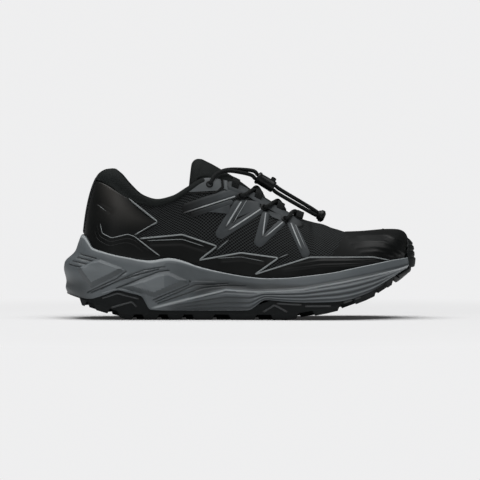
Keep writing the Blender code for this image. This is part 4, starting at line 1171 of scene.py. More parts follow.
# %% Looking up places on the upper
def sample(grid, share, rise):
    """Read a grid of the upper at signed shares (lateral below zero) and at rises from 0 to 1."""
    i = np.clip((np.asarray(share) + 100) * SHARE_STEPS, 0, len(grid) - 1.001)
    j = np.clip(np.asarray(rise) * ROWS, 0, ROWS - 0.001)
    i0, j0 = i.astype(int), j.astype(int)
    a, b = (i - i0)[..., None], (j - j0)[..., None]
    low = grid[i0, j0] * (1 - a) + grid[i0 + 1, j0] * a
    high = grid[i0, j0 + 1] * (1 - a) + grid[i0 + 1, j0 + 1] * a
    return low * (1 - b) + high * b


def skin(share, rise, off=0.0):
    """Points on the upper, or a little off it."""
    return sample(SKIN, share, rise) + unit(sample(SKIN_OUT, share, rise)) * np.asarray(off)[..., None]


SHARE_TRY, RISE_TRY = 0.1, 0.005
SHARE_MOST, RISE_MOST = 0.5, 0.02


def seen_at(x, z, side):
    """Share and rise of the point of the upper that shows at x and z in the side view."""
    first = 0 if side < 0 else len(SHARES) - 1
    half = SKIN[first:first + len(SHARES)]
    gap = np.hypot(half[:, :, 0] - x, half[:, :, 2] - z)
    i, j = np.unravel_index(np.argmin(gap), gap.shape)
    share, rise = (i + first) / SHARE_STEPS - 100, j / ROWS
    for _ in range(4):
        here = skin(share, rise)
        ahead = (skin(share + SHARE_TRY, rise) - here) / SHARE_TRY
        above = (skin(share, rise + RISE_TRY) - here) / RISE_TRY
        slope = np.array([[ahead[0], above[0]], [ahead[2], above[2]]])
        if abs(np.linalg.det(slope)) < 1e-3:
            break
        move = np.linalg.solve(slope, [x - here[0], z - here[2]])
        share += float(np.clip(move[0], -SHARE_MOST, SHARE_MOST))
        rise = float(np.clip(rise + np.clip(move[1], -RISE_MOST, RISE_MOST), 0, 1))
    return share, rise


check_share, check_rise = seen_at(0.0, 80.0, -1)
print("looked for x 0, z 80 and found:", skin(check_share, check_rise).round(2))

# %% [markdown]
# The mesh of the upper
#
# The cloth itself is one sheet from the toe round the heel to the toe, welded where its ends meet. A
# Solidify thickens it inward, so the shoe is hollow and its lining shows from above. The weave comes from
# the material.

# %% Upper
upper_bm = bent_grid(along=480, across=60, place=lambda u, v: skin(200 * u - 100, v), uv_size=(640, 92))
close_up(upper_bm)
add_wall(make_piece("upper_shell", upper_bm, MESH, ["upper"]), UPPER_WALL)

# %% [markdown]
# Carrying a section along
#
# Cuff and tongue are soft pads whose section changes along the shoe. They could be blocked out as boxes
# and pushed into shape. Here each is a loft: a closed ring of points is placed on one section of the
# upper after another. A grid gives the loft's cage, its two open ends are filled, and a Subdivision
# Surface rounds the cage into something that looks stuffed.


# %% Sections to carry along
class Section:
    """One section of the upper, to place points below its top edge and off its outside."""

    def __init__(self, share):
        shares, rises = np.full(ROWS + 1, share), np.linspace(0, 1, ROWS + 1)
        self.points = skin(shares, rises)
        self.out = skin(shares, rises, np.ones(ROWS + 1)) - self.points
        self.length = lengths_along(self.points)
        self.beyond = unit(self.points[-1] - self.points[-4])

    def place(self, down, off, over=0.0):
        at = self.length[-1] - down
        base, way = (points_along(data, self.length, at)[0] for data in (self.points, self.out))
        return base + unit(way) * off + self.beyond * over


def loft(rings, uv_size):
    """A closed skin through rings of points, with both ends filled."""
    rings = np.array(rings)
    count, around = len(rings) - 1, rings.shape[1]

    def place(u, v):
        return rings[step_of(u, count), step_of(v, around) % around]

    bm = bent_grid(count, around, place, uv_size)
    close_up(bm, 0.001, fill_ends=True)
    return bm


def padded_piece(name, rings, uv_size, node):
    """A stuffed piece of knit, lofted through rings and rounded."""
    thing = make_piece(name, loft(rings, uv_size), KNIT, [node], sharp=NO_EDGES)
    rounding = thing.modifiers.new("rounding", "SUBSURF")
    rounding.levels = 2
    rounding.render_levels = 2


print("way up the heel:", Section(0.0).length[-1].round(1))

# %% [markdown]
# Padded cuff
#
# The collar is rolled over with soft foam under a smooth knit. It is thick round the heel, with a hollow
# below its crown, and thins out to an edging along the throat. Its ring goes up the outside of the upper,
# over the top, down the padded lining and back along the wall. A table changes depth, hollow and crown on
# the way.

# %% Padded cuff
OVERLAY_GAP, OVERLAY_WALL = 0.35, 1.0
CUFF_SHARE, CUFF_FADE, CUFF_STEPS = 40.0, 10.0, 69
CUFF_COLUMNS = "outside hollow back crown"
CUFF_DEPTH = Table("share " + CUFF_COLUMNS, [
    (0, 13.0, 0, 0.9, 0.8), (3, 13.3, -0.1, 0.7, 2.4), (5, 13.5, -0.15, 0.5, 3.4), (7, 13.5, -0.2, 0.1, 2.3),
    (9, 13.2, 0.2, 0, 1.4), (11, 12.5, 0.75, 0, 0.9), (15, 11.0, 0.9, 0, 0.1), (21, 6.0, 0.5, 0, -0.4),
    (30, 4.8, 0, 0, 0.4), (40, 4.5, 0, 0, 1.2),
])
CUFF_SKIN, CUFF_LINING, CUFF_PAD, CUFF_ROLL, CUFF_CLEARANCE = 1.9, 19.0, 4.6, 2.2, 0.5


def cuff_ring(share):
    section = Section(share)
    depth, hollow, back, crown = (float(CUFF_DEPTH.at(name, abs(share))) for name in CUFF_COLUMNS.split())
    fill = min((CUFF_SHARE + 2 - abs(share)) / CUFF_FADE, 1.0)
    bulge, pad = CUFF_SKIN * (0.5 + 0.5 * fill), CUFF_PAD * fill
    roll = CUFF_ROLL * (0.4 + 0.6 * fill) + crown
    inside = -(UPPER_WALL + CUFF_CLEARANCE)
    # Each stop: how far below the top edge, how far off the outside, and how far above the top edge
    outside = [
        (depth, 0.2, 0), (0.93 * depth, 0.7 * bulge + back, 0),
        (0.66 * depth, bulge * (1 - hollow) + 0.4 * back, 0), (0.35 * depth, bulge * (1 - 0.3 * hollow), 0),
        (0, 0.8 * bulge, 0.3 * roll), (0, -0.25 * UPPER_WALL, roll), (0, inside - 0.45 * pad, roll),
    ]
    lining = [
        (0.2 * CUFF_LINING, inside - pad, 0), (0.5 * CUFF_LINING, inside - 0.95 * pad, 0),
        (0.8 * CUFF_LINING, inside - 0.55 * pad, 0), (CUFF_LINING, inside - 0.15 * pad, 0),
    ]
    against_wall = [
        (CUFF_LINING, inside, 0), (0.5 * CUFF_LINING, inside, 0), (0, inside, CUFF_CLEARANCE),
        (0, OVERLAY_GAP, CUFF_CLEARANCE), (0.5 * depth, OVERLAY_GAP, 0),
    ]
    return [section.place(*stop) for stop in outside + lining + against_wall]


cuff_rings = [cuff_ring(share) for share in np.linspace(-CUFF_SHARE, CUFF_SHARE, CUFF_STEPS)]
padded_piece("padded_cuff", cuff_rings, uv_size=(190, 60), node="collar_cuff")

# %% [markdown]
# Tongue
#
# The tongue is a flat pad under the throat that stands free above it and bends over at its end. One sheet
# with an even wall would look like card. Its outside is given first, as an arch: free above the throat,
# and tucked under both edges of the throat further down. The inside then follows at a thickness that
# thins to the sides.

# %% Tongue
TONGUE = Table("x height thick", [
    (-40.0, 127.4, 7.0), (-38.5, 130.9, 9.5), (-35.5, 133.0, 11.0), (-33.0, 133.2, 11.0),
    (-28.0, 130.9, 11.0), (-20.0, 126.2, 10.5), (-11.0, 120.8, 9.4), (-3.0, 115.8, 8.2), (5.0, 110.0, 6.4),
    (13.0, 103.6, 5.0), (21.0, 98.0, 4.2), (37.0, 88.6, 4.0), (50.0, 80.6, 3.4), (66.0, 73.0, 3.0),
])
TONGUE_TOP = Table("x half fall", [
    (-40.0, 17.5, 17.5), (-37.0, 19.4, 21.0), (-33.0, 19.8, 21.5), (-28.0, 19.4, 18.0), (-24.0, 18.4, 13.0),
    (-20.0, 17.4, 10.0),
])
TONGUE_END, END_LEAN = -30.0, (0.1, 0.0, 0.995)
TONGUE_FREE = (-40.0, -39.4, -38.0, -35.0, -31.0, -28.0, -24.0, -20.0)
TONGUE_SHARES = np.linspace(45.0, 70.5, 24)
TONGUE_TUCK, TONGUE_CLEARANCE, TONGUE_EDGE = 9.0, 1.1, 0.35
TONGUE_ARCH = (-0.6, -0.25, 0.25, 0.6)
TONGUE_ROUND = (-1, -0.9, -0.75, *TONGUE_ARCH, 0.75, 0.9, 1)


def tongue_out(x):
    if x < TONGUE_END:
        return np.array(END_LEAN)
    rise = float(TONGUE.at("height", x + 1) - TONGUE.at("height", x - 1)) / 2
    return np.array([-rise, 0.0, 1.0]) / math.hypot(rise, 1.0)


def free_section(x):
    """Outside of the tongue where it stands clear of the throat."""
    half, fall, out = float(TONGUE_TOP.at("half", x)), float(TONGUE_TOP.at("fall", x)), tongue_out(x)
    middle = np.array([x, 0.0, float(TONGUE.at("height", x))])
    points = [middle + np.array([0, share * half, 0]) - out * fall * share ** 2 for share in TONGUE_ROUND]
    return [(point, out) for point in points]


def tucked_section(share):
    """Outside of the tongue between the two edges of the throat."""
    off = -(UPPER_WALL + TONGUE_CLEARANCE)
    both = []
    for side in SIDES.values():
        section = Section(side * share)
        tucks = (TONGUE_TUCK, 0.5 * TONGUE_TUCK, 0.0)
        ways = [section.place(down, 1) - section.place(down, 0) for down in tucks]
        both.append(list(zip([section.place(down, off) for down in tucks], ways)))
    left, right = both[0], both[1][::-1]
    start, end = left[-1][0], right[0][0]
    middle_x = 0.5 * (start[0] + end[0])
    rise = max(float(TONGUE.at("height", middle_x)) - 0.5 * (start[2] + end[2]), 0.0)
    rise *= min(abs(end[1] - start[1]) / TONGUE_TUCK, 1.0)
    arch = []
    for across in TONGUE_ARCH:
        base = start + (end - start) * (0.5 + 0.5 * across)
        arch.append((base + np.array([0, 0, rise * (1 - across ** 2)]), tongue_out(middle_x)))
    return left + arch + right


def tongue_ring(section):
    middle = 0.5 * (len(section) - 1)
    inside = []
    for k, (point, way) in enumerate(section):
        thin = 1 - (1 - TONGUE_EDGE) * (abs(k - middle) / middle) ** 3
        inside.append(point - way * (float(TONGUE.at("thick", point[0])) * thin))
    return [point for point, _ in section] + inside[::-1]


tongue_sections = [free_section(x) for x in TONGUE_FREE] + [tucked_section(share) for share in TONGUE_SHARES]
tongue_rings = [tongue_ring(section) for section in tongue_sections]
padded_piece("padded_tongue", tongue_rings, uv_size=(110, 90), node="tongue")

# %% [markdown]
# Heel counter
#
# Heel, toe and sides are covered by thin moulded films that are welded onto the mesh. A film could be
# painted on the upper, but its edge would cast no shadow. It is a sheet that is looked up on the upper
# and lifted off it by its own thickness, with its border pressed down so that the edge looks welded. The
# counter wraps the heel, and its zigzag front edge is drawn in the side view.

# %% Heel counter
FILM_LIFT, FILM_WALL, FILM_BORDER = 0.75, 0.5, 0.9
COUNTER_TOP = Table("share height", [
    (0, 113.2), (6, 111.7), (10, 108.6), (14, 102.9), (18, 97.2), (24, 91.0),
])
COUNTER_FRONT = [(-64.5, 51.5), (-85.9, 68.6), (-67.0, 79.7), (-90.7, 99.0), (-97.0, 104.0)]
COUNTER_SIZE = (170, 55)
# Where the painted highlight lies on the counter: across the heel, its spread, and up the counter
PALE_AT, PALE_SPREAD, PALE_UP = 0.66, 0.24, (0.35, 0.98)
FOOT_SHIFT, FOOT_GAP = 2.0, 0.3


def rise_at(share, height):
    """How far up its section the upper reaches a height."""
    rises = np.linspace(0, 1, ROWS + 1)
    columns = sample(SKIN, np.asarray(share)[:, None], rises[None, :])[:, :, 2]
    return np.array([np.interp(z, column, rises) for z, column in zip(height, columns)])


def welded(border, reach, least):
    """Share of its lift that a film has near its border, down to a least share right at it."""
    return np.clip(border / reach, least, 1) ** 0.5


def pressed(u, v, size, lift=FILM_LIFT):
    """Lift of a film that is pressed down all round."""
    border = np.minimum(np.minimum(u, 1 - u) * size[0], np.minimum(v, 1 - v) * size[1])
    return lift * welded(border, FILM_BORDER, least=0.25)


def rim_above(share):
    """Height of the sole's rim in front of the upper, at signed shares."""
    base = sample(SKIN, share, np.zeros(np.shape(share)))
    return SOLE_HEIGHTS.at("rim", base[..., 0] - FOOT_SHIFT * np.sign(base[..., 0])) + FOOT_GAP


def counter_front():
    """Share of the counter's front edge on the way up, from its corners in the side view."""
    ways, shares = [], []
    for x, z in COUNTER_FRONT:
        share = seen_at(x, z, 1)[0]
        low, high = float(rim_above(share)), float(COUNTER_TOP.at("height", share))
        ways.append(np.clip((z - low) / (high - low), 0, 1))
        shares.append(share)
    return np.array(ways), np.array(shares)


FRONT_WAYS, FRONT_SHARES = counter_front()


def counter_place(u, v):
    share = (2 * u - 1) * np.interp(v, FRONT_WAYS, FRONT_SHARES)
    low, high = rim_above(share), COUNTER_TOP.at("height", np.abs(share))
    return skin(share, rise_at(share, low + (high - low) * v), pressed(u, v, COUNTER_SIZE))


def counter_painted_highlight(u, v):
    """A painted reflection of the light above, grey on the film high up at both sides of the heel."""
    return -soft_peak(np.abs(2 * u - 1) - PALE_AT, PALE_SPREAD) * ease(v, *PALE_UP)


def film_piece(name, bm, material=FILM, stands_for=()):
    add_wall(make_piece(name, bm, material, stands_for), FILM_WALL)


counter_bm = bent_grid(along=150, across=70, place=counter_place, uv_size=COUNTER_SIZE, shade=counter_painted_highlight)
film_piece("heel_counter_film", counter_bm, stands_for=["heel_counter"])
print("counter front:", FRONT_WAYS.round(2), FRONT_SHARES.round(1))

# %% [markdown]
# Heel strip
#
# A narrow strip of mesh covers the seam at the back of the heel. It could be part of the counter with
# another material; as a film of its own it has a welded edge all round, and it stands a little higher.

# %% Heel strip
STRIP_SHARE, STRIP_LOW, STRIP_HIGH, STRIP_TAPER, STRIP_LIFT = 3.4, 70.0, 115.5, 0.25, 1.7
STRIP_SIZE = (22, 46)


def strip_place(u, v):
    share = (2 * u - 1) * STRIP_SHARE * (1 - STRIP_TAPER * v)
    rise = rise_at(share, STRIP_LOW + (STRIP_HIGH - STRIP_LOW) * v)
    return skin(share, rise, pressed(u, v, STRIP_SIZE, STRIP_LIFT))


strip_bm = bent_grid(along=28, across=60, place=strip_place, uv_size=STRIP_SIZE)
film_piece("heel_strip", strip_bm, MESH)

# %% [markdown]
# Toe cap
#
# A smooth cap covers the toe and runs back over the vamp, where it turns matt and ends. Two halves would
# show a seam in front, so the cap goes round the toe in one sheet. Low ridges flow over it; they are
# lines of the side view, like the grooves of the foam.

# %% Toe cap
CAP_START, CAP_LIFT, CAP_BORDER = 69.0, 0.5, 1.2
CAP_SIZE = (200, 60)
CAP_RIDGES = [
    [(90.5, 61.6), (104.0, 63.4), (117.2, 63.2), (127.0, 59.0), (134.5, 53.4)],
    [(95.0, 58.0), (110.0, 59.4), (121.0, 57.4), (130.0, 52.6)],
    [(99.0, 54.4), (112.0, 55.2), (124.0, 52.0)],
    [(88.0, 66.4), (104.0, 68.4), (120.0, 68.6), (132.0, 63.6)],
]
CAP_RIDGE_WIDTH, CAP_RIDGE_HEIGHT = 1.0, 0.35
CAP_TOP = Table("share rise", [(69, 0.16), (73, 0.34), (77, 0.58), (81, 0.86), (83, 1.0), (100, 1.0)])
AT_RIDGE, NO_BORDER, CAP_GLOSS = 0.99, 9, (0.06, 0.3)


def cap_place(u, v):
    reach = 100 - CAP_START
    share = np.where(u < 0.5, -CAP_START - reach * 2 * u, 100 - reach * (2 * u - 1))
    low = rise_at(share, rim_above(share))
    high = CAP_TOP.at("rise", np.abs(share))
    top_border = np.where(high > AT_RIDGE, NO_BORDER, (1 - v) * CAP_SIZE[1])
    border = np.minimum(np.minimum(u, 1 - u) * CAP_SIZE[0], top_border)
    rise = low + (high - low) * v
    spot = sample(SKIN, share, rise)
    flow = along_lines(CAP_RIDGES, CAP_RIDGE_WIDTH, spot[:, 0], spot[:, 2])
    lift = CAP_LIFT * welded(border, CAP_BORDER, least=0.2)
    return skin(share, rise, lift + CAP_RIDGE_HEIGHT * flow)


def cap_shade(u, v):
    """The film is matt at its back border, where it runs out over the mesh."""
    return 1 - ease(np.minimum(u, 1 - u), *CAP_GLOSS)


cap_bm = bent_grid(along=240, across=80, place=cap_place, uv_size=CAP_SIZE, shade=cap_shade)
close_up(cap_bm)
film_piece("toe_cap_film", cap_bm, stands_for=["toe_cap"])

# %% [markdown]
# Side films
#
# Along both sides a glossy film rises from the sole in three jagged peaks. It could be one sheet cut to
# shape, with a ragged edge. Each peak is ruled instead: its lower and upper lines are drawn in the side
# view, found on the upper, and a sheet is stretched between them. The far side is taken to mirror the
# near one.

# %% Side films
FILM_LINES = {
    "rear": ([(-81.7, None), (-37.0, None), (-33.4, 48.2), (-18.7, 59.7)],
             [(-81.7, 66.0), (-47.0, 69.2), (-18.7, 59.9)]),
    "middle": ([(-35.0, None), (8.0, None), (12.0, 36.3), (31.3, 50.2)],
               [(-35.0, 47.8), (1.0, 54.4), (31.3, 50.4)]),
    "front": ([(10.0, None), (60.0, None), (122.0, None)],
              [(10.0, 36.6), (56.7, 50.8), (108.6, 50.8), (122.0, 48.6)]),
}
FILM_RIDGES = [
    [(44.0, 44.4), (64.0, 47.6), (112.0, 48.0)], [(36.0, 40.4), (66.0, 44.2), (108.0, 45.6)],
    [(-72.0, 61.6), (-47.0, 62.4), (-27.0, 56.0)], [(-14.0, 48.0), (2.0, 49.0), (20.0, 45.4)],
]
FILM_RIDGE_HEIGHT, FILM_RIDGE_WIDTH = 0.45, 1.0
SIDE_LIFT, SIDE_HEIGHT, RIM_CLEARANCE = 0.62, 15, 0.4
SIDE_COLUMNS, SIDE_FILM_ROWS = 110, 24


def rim_line(x):
    return float(SOLE_HEIGHTS.at("rim", x)) + RIM_CLEARANCE


def seen_line(corners, xs, side):
    """Shares and rises along a broken line of the side view; corners without a height follow the rim."""
    line_x = [x for x, _ in corners]
    heights = np.interp(xs, line_x, [rim_line(x) if z is None else z for x, z in corners])
    on_rim = np.array([z is None for _, z in corners])
    near = np.searchsorted(line_x, xs, side="right").clip(1, len(corners) - 1)
    follow = on_rim[near - 1] & on_rim[near]
    heights = np.where(follow, [rim_line(x) for x in xs], heights)
    return np.array([seen_at(x, z, side) for x, z in zip(xs, heights)])


def ruled_film(corners, side, columns, rows, lift, into=None, ridges=None):
    """A film between a lower and an upper line of the side view, with soft ridges along some lines."""
    xs = np.linspace(corners[0][0][0], corners[0][-1][0], columns + 1)
    low, high = seen_line(corners[0], xs, side), seen_line(corners[1], xs, side)

    def place(u, v):
        i = step_of(u, columns)
        spot = low[i] * (1 - v)[:, None] + high[i] * v[:, None]
        border = np.minimum(np.minimum(u, 1 - u) * (xs[-1] - xs[0]), (1 - v) * SIDE_HEIGHT)
        off = lift * welded(border, FILM_BORDER, least=0.3)
        if ridges:
            seen = sample(SKIN, spot[:, 0], spot[:, 1])
            off += FILM_RIDGE_HEIGHT * along_lines(ridges, FILM_RIDGE_WIDTH, seen[:, 0], seen[:, 2])
        return skin(spot[:, 0], spot[:, 1], off)

    return bent_grid(columns, rows, place, (xs[-1] - xs[0], 20), into=into)


def build_side_films(side, label):
    bm = None
    for corners in FILM_LINES.values():
        bm = ruled_film(corners, side, SIDE_COLUMNS, SIDE_FILM_ROWS, SIDE_LIFT, bm, FILM_RIDGES)
    bmesh.ops.dissolve_degenerate(bm, edges=bm.edges, dist=0.01)
    face_out(bm)
    film_piece("side_film_" + label, bm)


both_sides(build_side_films)

# %% [markdown]
# Ribbons
#
# Thin lines edge the films, and welded straps run from the eyelets down the side. Curves with a flat
# bevel would twist on the cloth. Each is a ribbon instead: a broken line in the side view is rounded at
# its corners, found on the upper point by point, and widened to both sides in the plane of the cloth. A
# ribbon's section is a low arch, so that its edges catch the light as a weld does.

# %% Ribbons on the upper
CORNER_POINTS, CORNER_MOST = 6, 0.45


def rounded(points, radius):
    """A broken line with its corners cut to a small round."""
    points = [np.array(point, dtype=float) for point in points]
    line = [points[0]]
    for before, corner, after in zip(points, points[1:], points[2:]):
        first = corner + (before - corner) * min(radius / np.linalg.norm(before - corner), CORNER_MOST)
        second = corner + (after - corner) * min(radius / np.linalg.norm(after - corner), CORNER_MOST)
        for t in np.linspace(0, 1, CORNER_POINTS):
            line.append((1 - t) ** 2 * first + 2 * t * (1 - t) * corner + t ** 2 * second)
    return np.array(line + [points[-1]])


def even_line(points, step):
    length = lengths_along(points)
    steps = max(int(round(length[-1] / step)), 3)
    return points_along(points, length, np.linspace(0, length[-1], steps + 1))


def upper_spots(flat, side):
    """Points of the upper, and the way out of it, along a line of the side view."""
    spots = np.array([seen_at(x, z, side) for x, z in flat])
    line = skin(spots[:, 0], spots[:, 1])
    return line, skin(spots[:, 0], spots[:, 1], np.ones(len(spots))) - line


RIBBON_STEP, RIBBON_ROWS = 1.0, 6
ROUND_ARCH, FLAT_ARCH, ARCH_FALL = 2, 6, 0.9
LEAST_END, LEAST_ARCH = 0.02, 0.25


def ribbon(points, side, width, height, into, radius=1.5, fade=(0, 0), blunt=False, base=0.3, on=upper_spots):
    """Add a ribbon to a bmesh. fade gives the lengths at both ends that turn dark, blunt rounds the ends."""
    line, out = on(even_line(rounded(points, radius), RIBBON_STEP), side)
    across = unit(np.cross(np.gradient(line, axis=0), out))
    count = len(line) - 1
    length = count * RIBBON_STEP
    ends, power = np.ones(count + 1), ROUND_ARCH
    if blunt:
        from_end = np.minimum(np.arange(count + 1), np.arange(count, -1, -1)) * RIBBON_STEP
        ends = np.sqrt(np.clip(1 - (1 - np.clip(2 * from_end / width, 0, 1)) ** 2, LEAST_END, 1))
        power = FLAT_ARCH

    def place(u, v):
        i = step_of(u, count)
        arch = (base + height) * (1 - np.abs(2 * v - 1) ** power * ARCH_FALL)
        arch *= np.clip(ends[i], LEAST_ARCH, 1)
        return line[i] + across[i] * ((v - 0.5) * width * ends[i])[:, None] + out[i] * arch[:, None]

    def shade(u, v):
        dark = np.zeros(len(u))
        for way, reach in zip((u * length, (1 - u) * length), fade):
            if reach:
                dark = np.maximum(dark, np.clip(1 - way / reach, 0, 1))
        return dark

    return bent_grid(count, RIBBON_ROWS, place, (length, width), into=into, shade=shade)


def ribbon_piece(name, side, material, ribbons):
    """One piece of several ribbons, each given by name and number."""
    bm = bmesh.new()
    for numbers in ribbons:
        ribbon(side=side, into=bm, **numbers)
    face_out(bm)
    make_piece(name, bm, material, sharp=NO_EDGES)


print("a corner becomes", len(rounded([(0, 0), (5, 0), (5, 5)], 1.5)), "points")

# %% [markdown]
# Pale lines
#
# Pale printed lines edge the side films and the heel counter, and two moulded ridges follow the counter's
# foot. They could be colour only; as low ribbons they also stand proud of the film and catch the light.
# Their ends fade, as print does that runs out.

# %% Pale lines
FILM_EDGE = [
    (-81.7, 66.0), (-47.0, 69.2), (-18.7, 59.8), (-33.4, 48.4), (1.0, 54.4), (31.3, 50.3), (12.0, 36.8),
    (56.7, 50.8), (108.6, 50.8), (122.0, 48.2),
]
ON_FILM, ON_MESH = 0.95, 0.3
# Each line: its points, its width, and how far off the mesh it starts
PALE_LINES = [
    ([(-90.7, 98.6), (-67.0, 79.7), (-85.9, 68.8)], 1.6, ON_FILM),
    ([(-113.2, 78.1), (-111.6, 70.2), (-104.0, 66.4), (-91.2, 69.6), (-85.9, 67.8), (-64.8, 51.6)],
     1.4, ON_FILM),
    (FILM_EDGE, 1.5, 0.5),
    ([(-75.4, 64.4), (-47.0, 65.4), (-29.2, 59.7)], 0.8, 0.6),
    ([(-18.0, 50.0), (1.0, 51.2), (20.0, 47.4)], 0.6, 0.6),
    ([(-8.9, 65.1), (-18.7, 56.9)], 0.7, ON_MESH),
    ([(39.8, 53.6), (31.5, 50.3)], 0.7, ON_MESH),
    ([(-115.4, 93.3), (-108.5, 87.6)], 0.9, ON_FILM),
]
COUNTER_RIDGES = [
    [(-115.6, 76.4), (-114.0, 67.6), (-105.4, 63.0), (-91.8, 66.2), (-86.0, 64.6), (-74.0, 55.6)],
    [(-117.6, 73.4), (-115.6, 65.0), (-106.4, 59.6), (-93.0, 62.8), (-86.6, 61.2), (-79.0, 55.4)],
]


def build_pale_lines(side, label):
    ridge = dict(width=1.7, height=0.7, radius=3, base=0.85)
    ribbon_piece("counter_ridges_" + label, side, FILM,
                 [dict(points=points, **ridge) for points in COUNTER_RIDGES])
    ribbon_piece("pale_lines_" + label, side, LINE, [
        dict(points=points, width=width, height=0.6, fade=(3, 3), base=base)
        for points, width, base in PALE_LINES
    ])


both_sides(build_pale_lines)

# %% [markdown]
# Straps from the eyelets
#
# Welded straps pull the eyelets down to the side in two V shapes and a single leg. Cut from one sheet, as
# on the real shoe, they would need a drawn outline; as ribbons with blunt ends they only need a middle
# line and a width. Small ruled films fill the corners between them, and a paler panel sits by the top
# eyelet.

# %% Straps from the eyelets
# Each strap: its middle line, its width, and how much of both ends fades to black
STRAPS = [
    ([(-47.0, 89.6), (-14.6, 100.6), (4.5, 106.4)], 8.2, (36, 0)),
    ([(0.2, 96.6), (-18.0, 67.2)], 7.4, (0, 0)),
    ([(18.7, 90.8), (-18.0, 67.2)], 6.6, (0, 0)),
    ([(22.0, 88.3), (14.0, 60.0)], 6.6, (0, 0)),
    ([(36.0, 80.6), (14.0, 60.0)], 6.2, (0, 0)),
    ([(41.0, 80.9), (54.8, 51.2)], 7.4, (0, 0)),
    ([(-11.3, 110.2), (5.1, 104.4), (23.3, 93.6), (38.9, 84.2), (51.3, 75.4)], 9.5, (4, 10)),
    ([(-41.0, 84.8), (-5.5, 96.4)], 4.6, (30, 0)),
]
STRAP_LINES = [
    ([(-46.0, 86.8), (-4.0, 100.2)], 1.1, (18, 0)), ([(1.0, 95.6), (-11.4, 75.4)], 1.7, (0, 4)),
    ([(5.2, 96.4), (-5.4, 78.4)], 0.6, (0, 4)), ([(16.8, 89.5), (-9.6, 72.4)], 1.7, (0, 6)),
    ([(21.1, 86.5), (18.6, 67.2)], 1.7, (0, 4)), ([(34.9, 78.9), (20.4, 67.0)], 1.6, (0, 5)),
    ([(41.6, 78.0), (50.6, 56.9)], 1.8, (0, 6)), ([(45.4, 76.6), (53.6, 57.6)], 0.6, (0, 6)),
]
# Each patch: its lower and its upper line
FILLS = [
    ([(-25.5, 87.6), (-9.2, 86.0), (-8.0, 89.8)], [(-25.5, 87.9), (-8.0, 94.0)]),
    ([(-2.9, 82.6), (16.4, 90.4)], [(-2.9, 91.5), (1.0, 98.0), (16.4, 95.6)]),
    ([(22.5, 87.0), (26.0, 83.4), (34.5, 79.8)], [(22.5, 89.0), (34.5, 84.2)]),
]
PANELS = [
    ([(-44.4, 103.4), (-18.5, 104.8), (-15.0, 108.4)],
     [(-44.4, 103.7), (-33.0, 114.2), (-23.5, 117.6), (-15.0, 117.0)]),
    ([(-13.0, 106.2), (-9.4, 104.6)], [(-13.0, 117.0), (-9.4, 115.0)]),
]
PANEL_GROOVE = [(-45.6, 102.4), (-19.0, 103.6), (-14.0, 107.6), (-13.9, 117.2)]
STRAP_LIFT, STRAP_STACK, FILL_LIFT, PANEL_LIFT = 0.4, 0.05, 0.8, 0.9
PATCH_COLUMNS, PATCH_ROWS = 24, 10


def build_straps(side, label):
    bm = bmesh.new()
    for number, (points, width, fade) in enumerate(STRAPS):
        ribbon(points, side, width, STRAP_LIFT + STRAP_STACK * number, bm, radius=4, fade=fade, blunt=True)
    for patch in FILLS:
        ruled_film(patch, side, PATCH_COLUMNS, PATCH_ROWS, FILL_LIFT, bm)
    bmesh.ops.dissolve_degenerate(bm, edges=bm.edges, dist=0.01)
    face_out(bm)
    make_piece("eyestay_straps_" + label, bm, STRAP, ["eyestay_" + label], sharp=NO_EDGES)
    ribbon_piece("strap_lines_" + label, side, BRIGHT_LINE, [
        dict(points=points, width=width, height=0.7, fade=fade, base=0.55)
        for points, width, fade in STRAP_LINES
    ])
    panels = bmesh.new()
    for patch in PANELS:
        ruled_film(patch, side, PATCH_COLUMNS, PATCH_ROWS, PANEL_LIFT, panels)
    face_out(panels)
    make_piece("eyelet_panel_" + label, panels, PANEL_FILM, sharp=NO_EDGES)
    groove = dict(points=PANEL_GROOVE, width=1.3, height=0.5, base=0.5)
    ribbon_piece("panel_groove_" + label, side, FILM, [groove])


both_sides(build_straps)

# %% [markdown]
# Moulded edges of the rubber
#
# The rubber's side walls carry thin raised edges around the lugs. They could be cut into the solid, but
# they are too fine for it. The same ribbons are used, and their places are found by casting rays from the
# side at the mesh of the outsole, which gives the point that is hit and the way out of the wall.

# %% Moulded edges of the rubber
RUBBER_EDGES = [
    [(-104.4, 10.0), (-87.6, 14.8), (-83.8, 10.6)], [(19.2, 6.6), (28.2, 12.4), (38.5, 6.6)],
    [(53.0, 11.4), (74.0, 11.6)], [(-112.0, 17.6), (-99.6, 21.6), (-82.0, 17.2)],
    [(30.0, 13.6), (50.0, 12.6)], [(84.0, 14.2), (98.0, 18.6)],
]
RAY_START = 200.0
SOLE_WALLS = BVHTree.FromPolygons([vert.co / MM for vert in outsole_mesh.vertices],
                                  [face.vertices for face in outsole_mesh.polygons])


def sole_spots(flat, side):
    """Points of the rubber's side wall, and the way out of it, along a line of the side view."""
    points, ways = [], []
    for x, z in flat:
        hit, way, _, _ = SOLE_WALLS.ray_cast(Vector((x, RAY_START * side, z)), Vector((0, -side, 0)))
        if hit:
            points.append(hit)
            ways.append(way if way.y * side > 0 else -way)
    return np.array(points), np.array(ways)


def build_edges(side, label):
    # The raised edges are real moulding; their grey colour is a painted highlight
    edge = dict(width=1.6, height=0.45, base=0.2, on=sole_spots, fade=(2, 2))
    ribbon_piece("rubber_edges_" + label, side, RUBBER_EDGE_HIGHLIGHT,
                 [dict(points=points, **edge) for points in RUBBER_EDGES])


both_sides(build_edges)

# %% [markdown]
# Tubes
#
# The shoe closes with one round braided cord. A Blender curve with a round bevel would do, but its length
# and its UV map would be out of reach here. A cord is drawn as a route of a few points, rounded into one
# curve at even steps, and a grid is wrapped round it as a tube. The routes are those of the solid model.

# %% Tubes
LACE_DIAMETER = 3.2
LACE_RADIUS = LACE_DIAMETER / 2
LACE_STEP = 1.0
TUBE_AROUND, TUBE_END = 16, 0.8
BEND_POINTS = 24


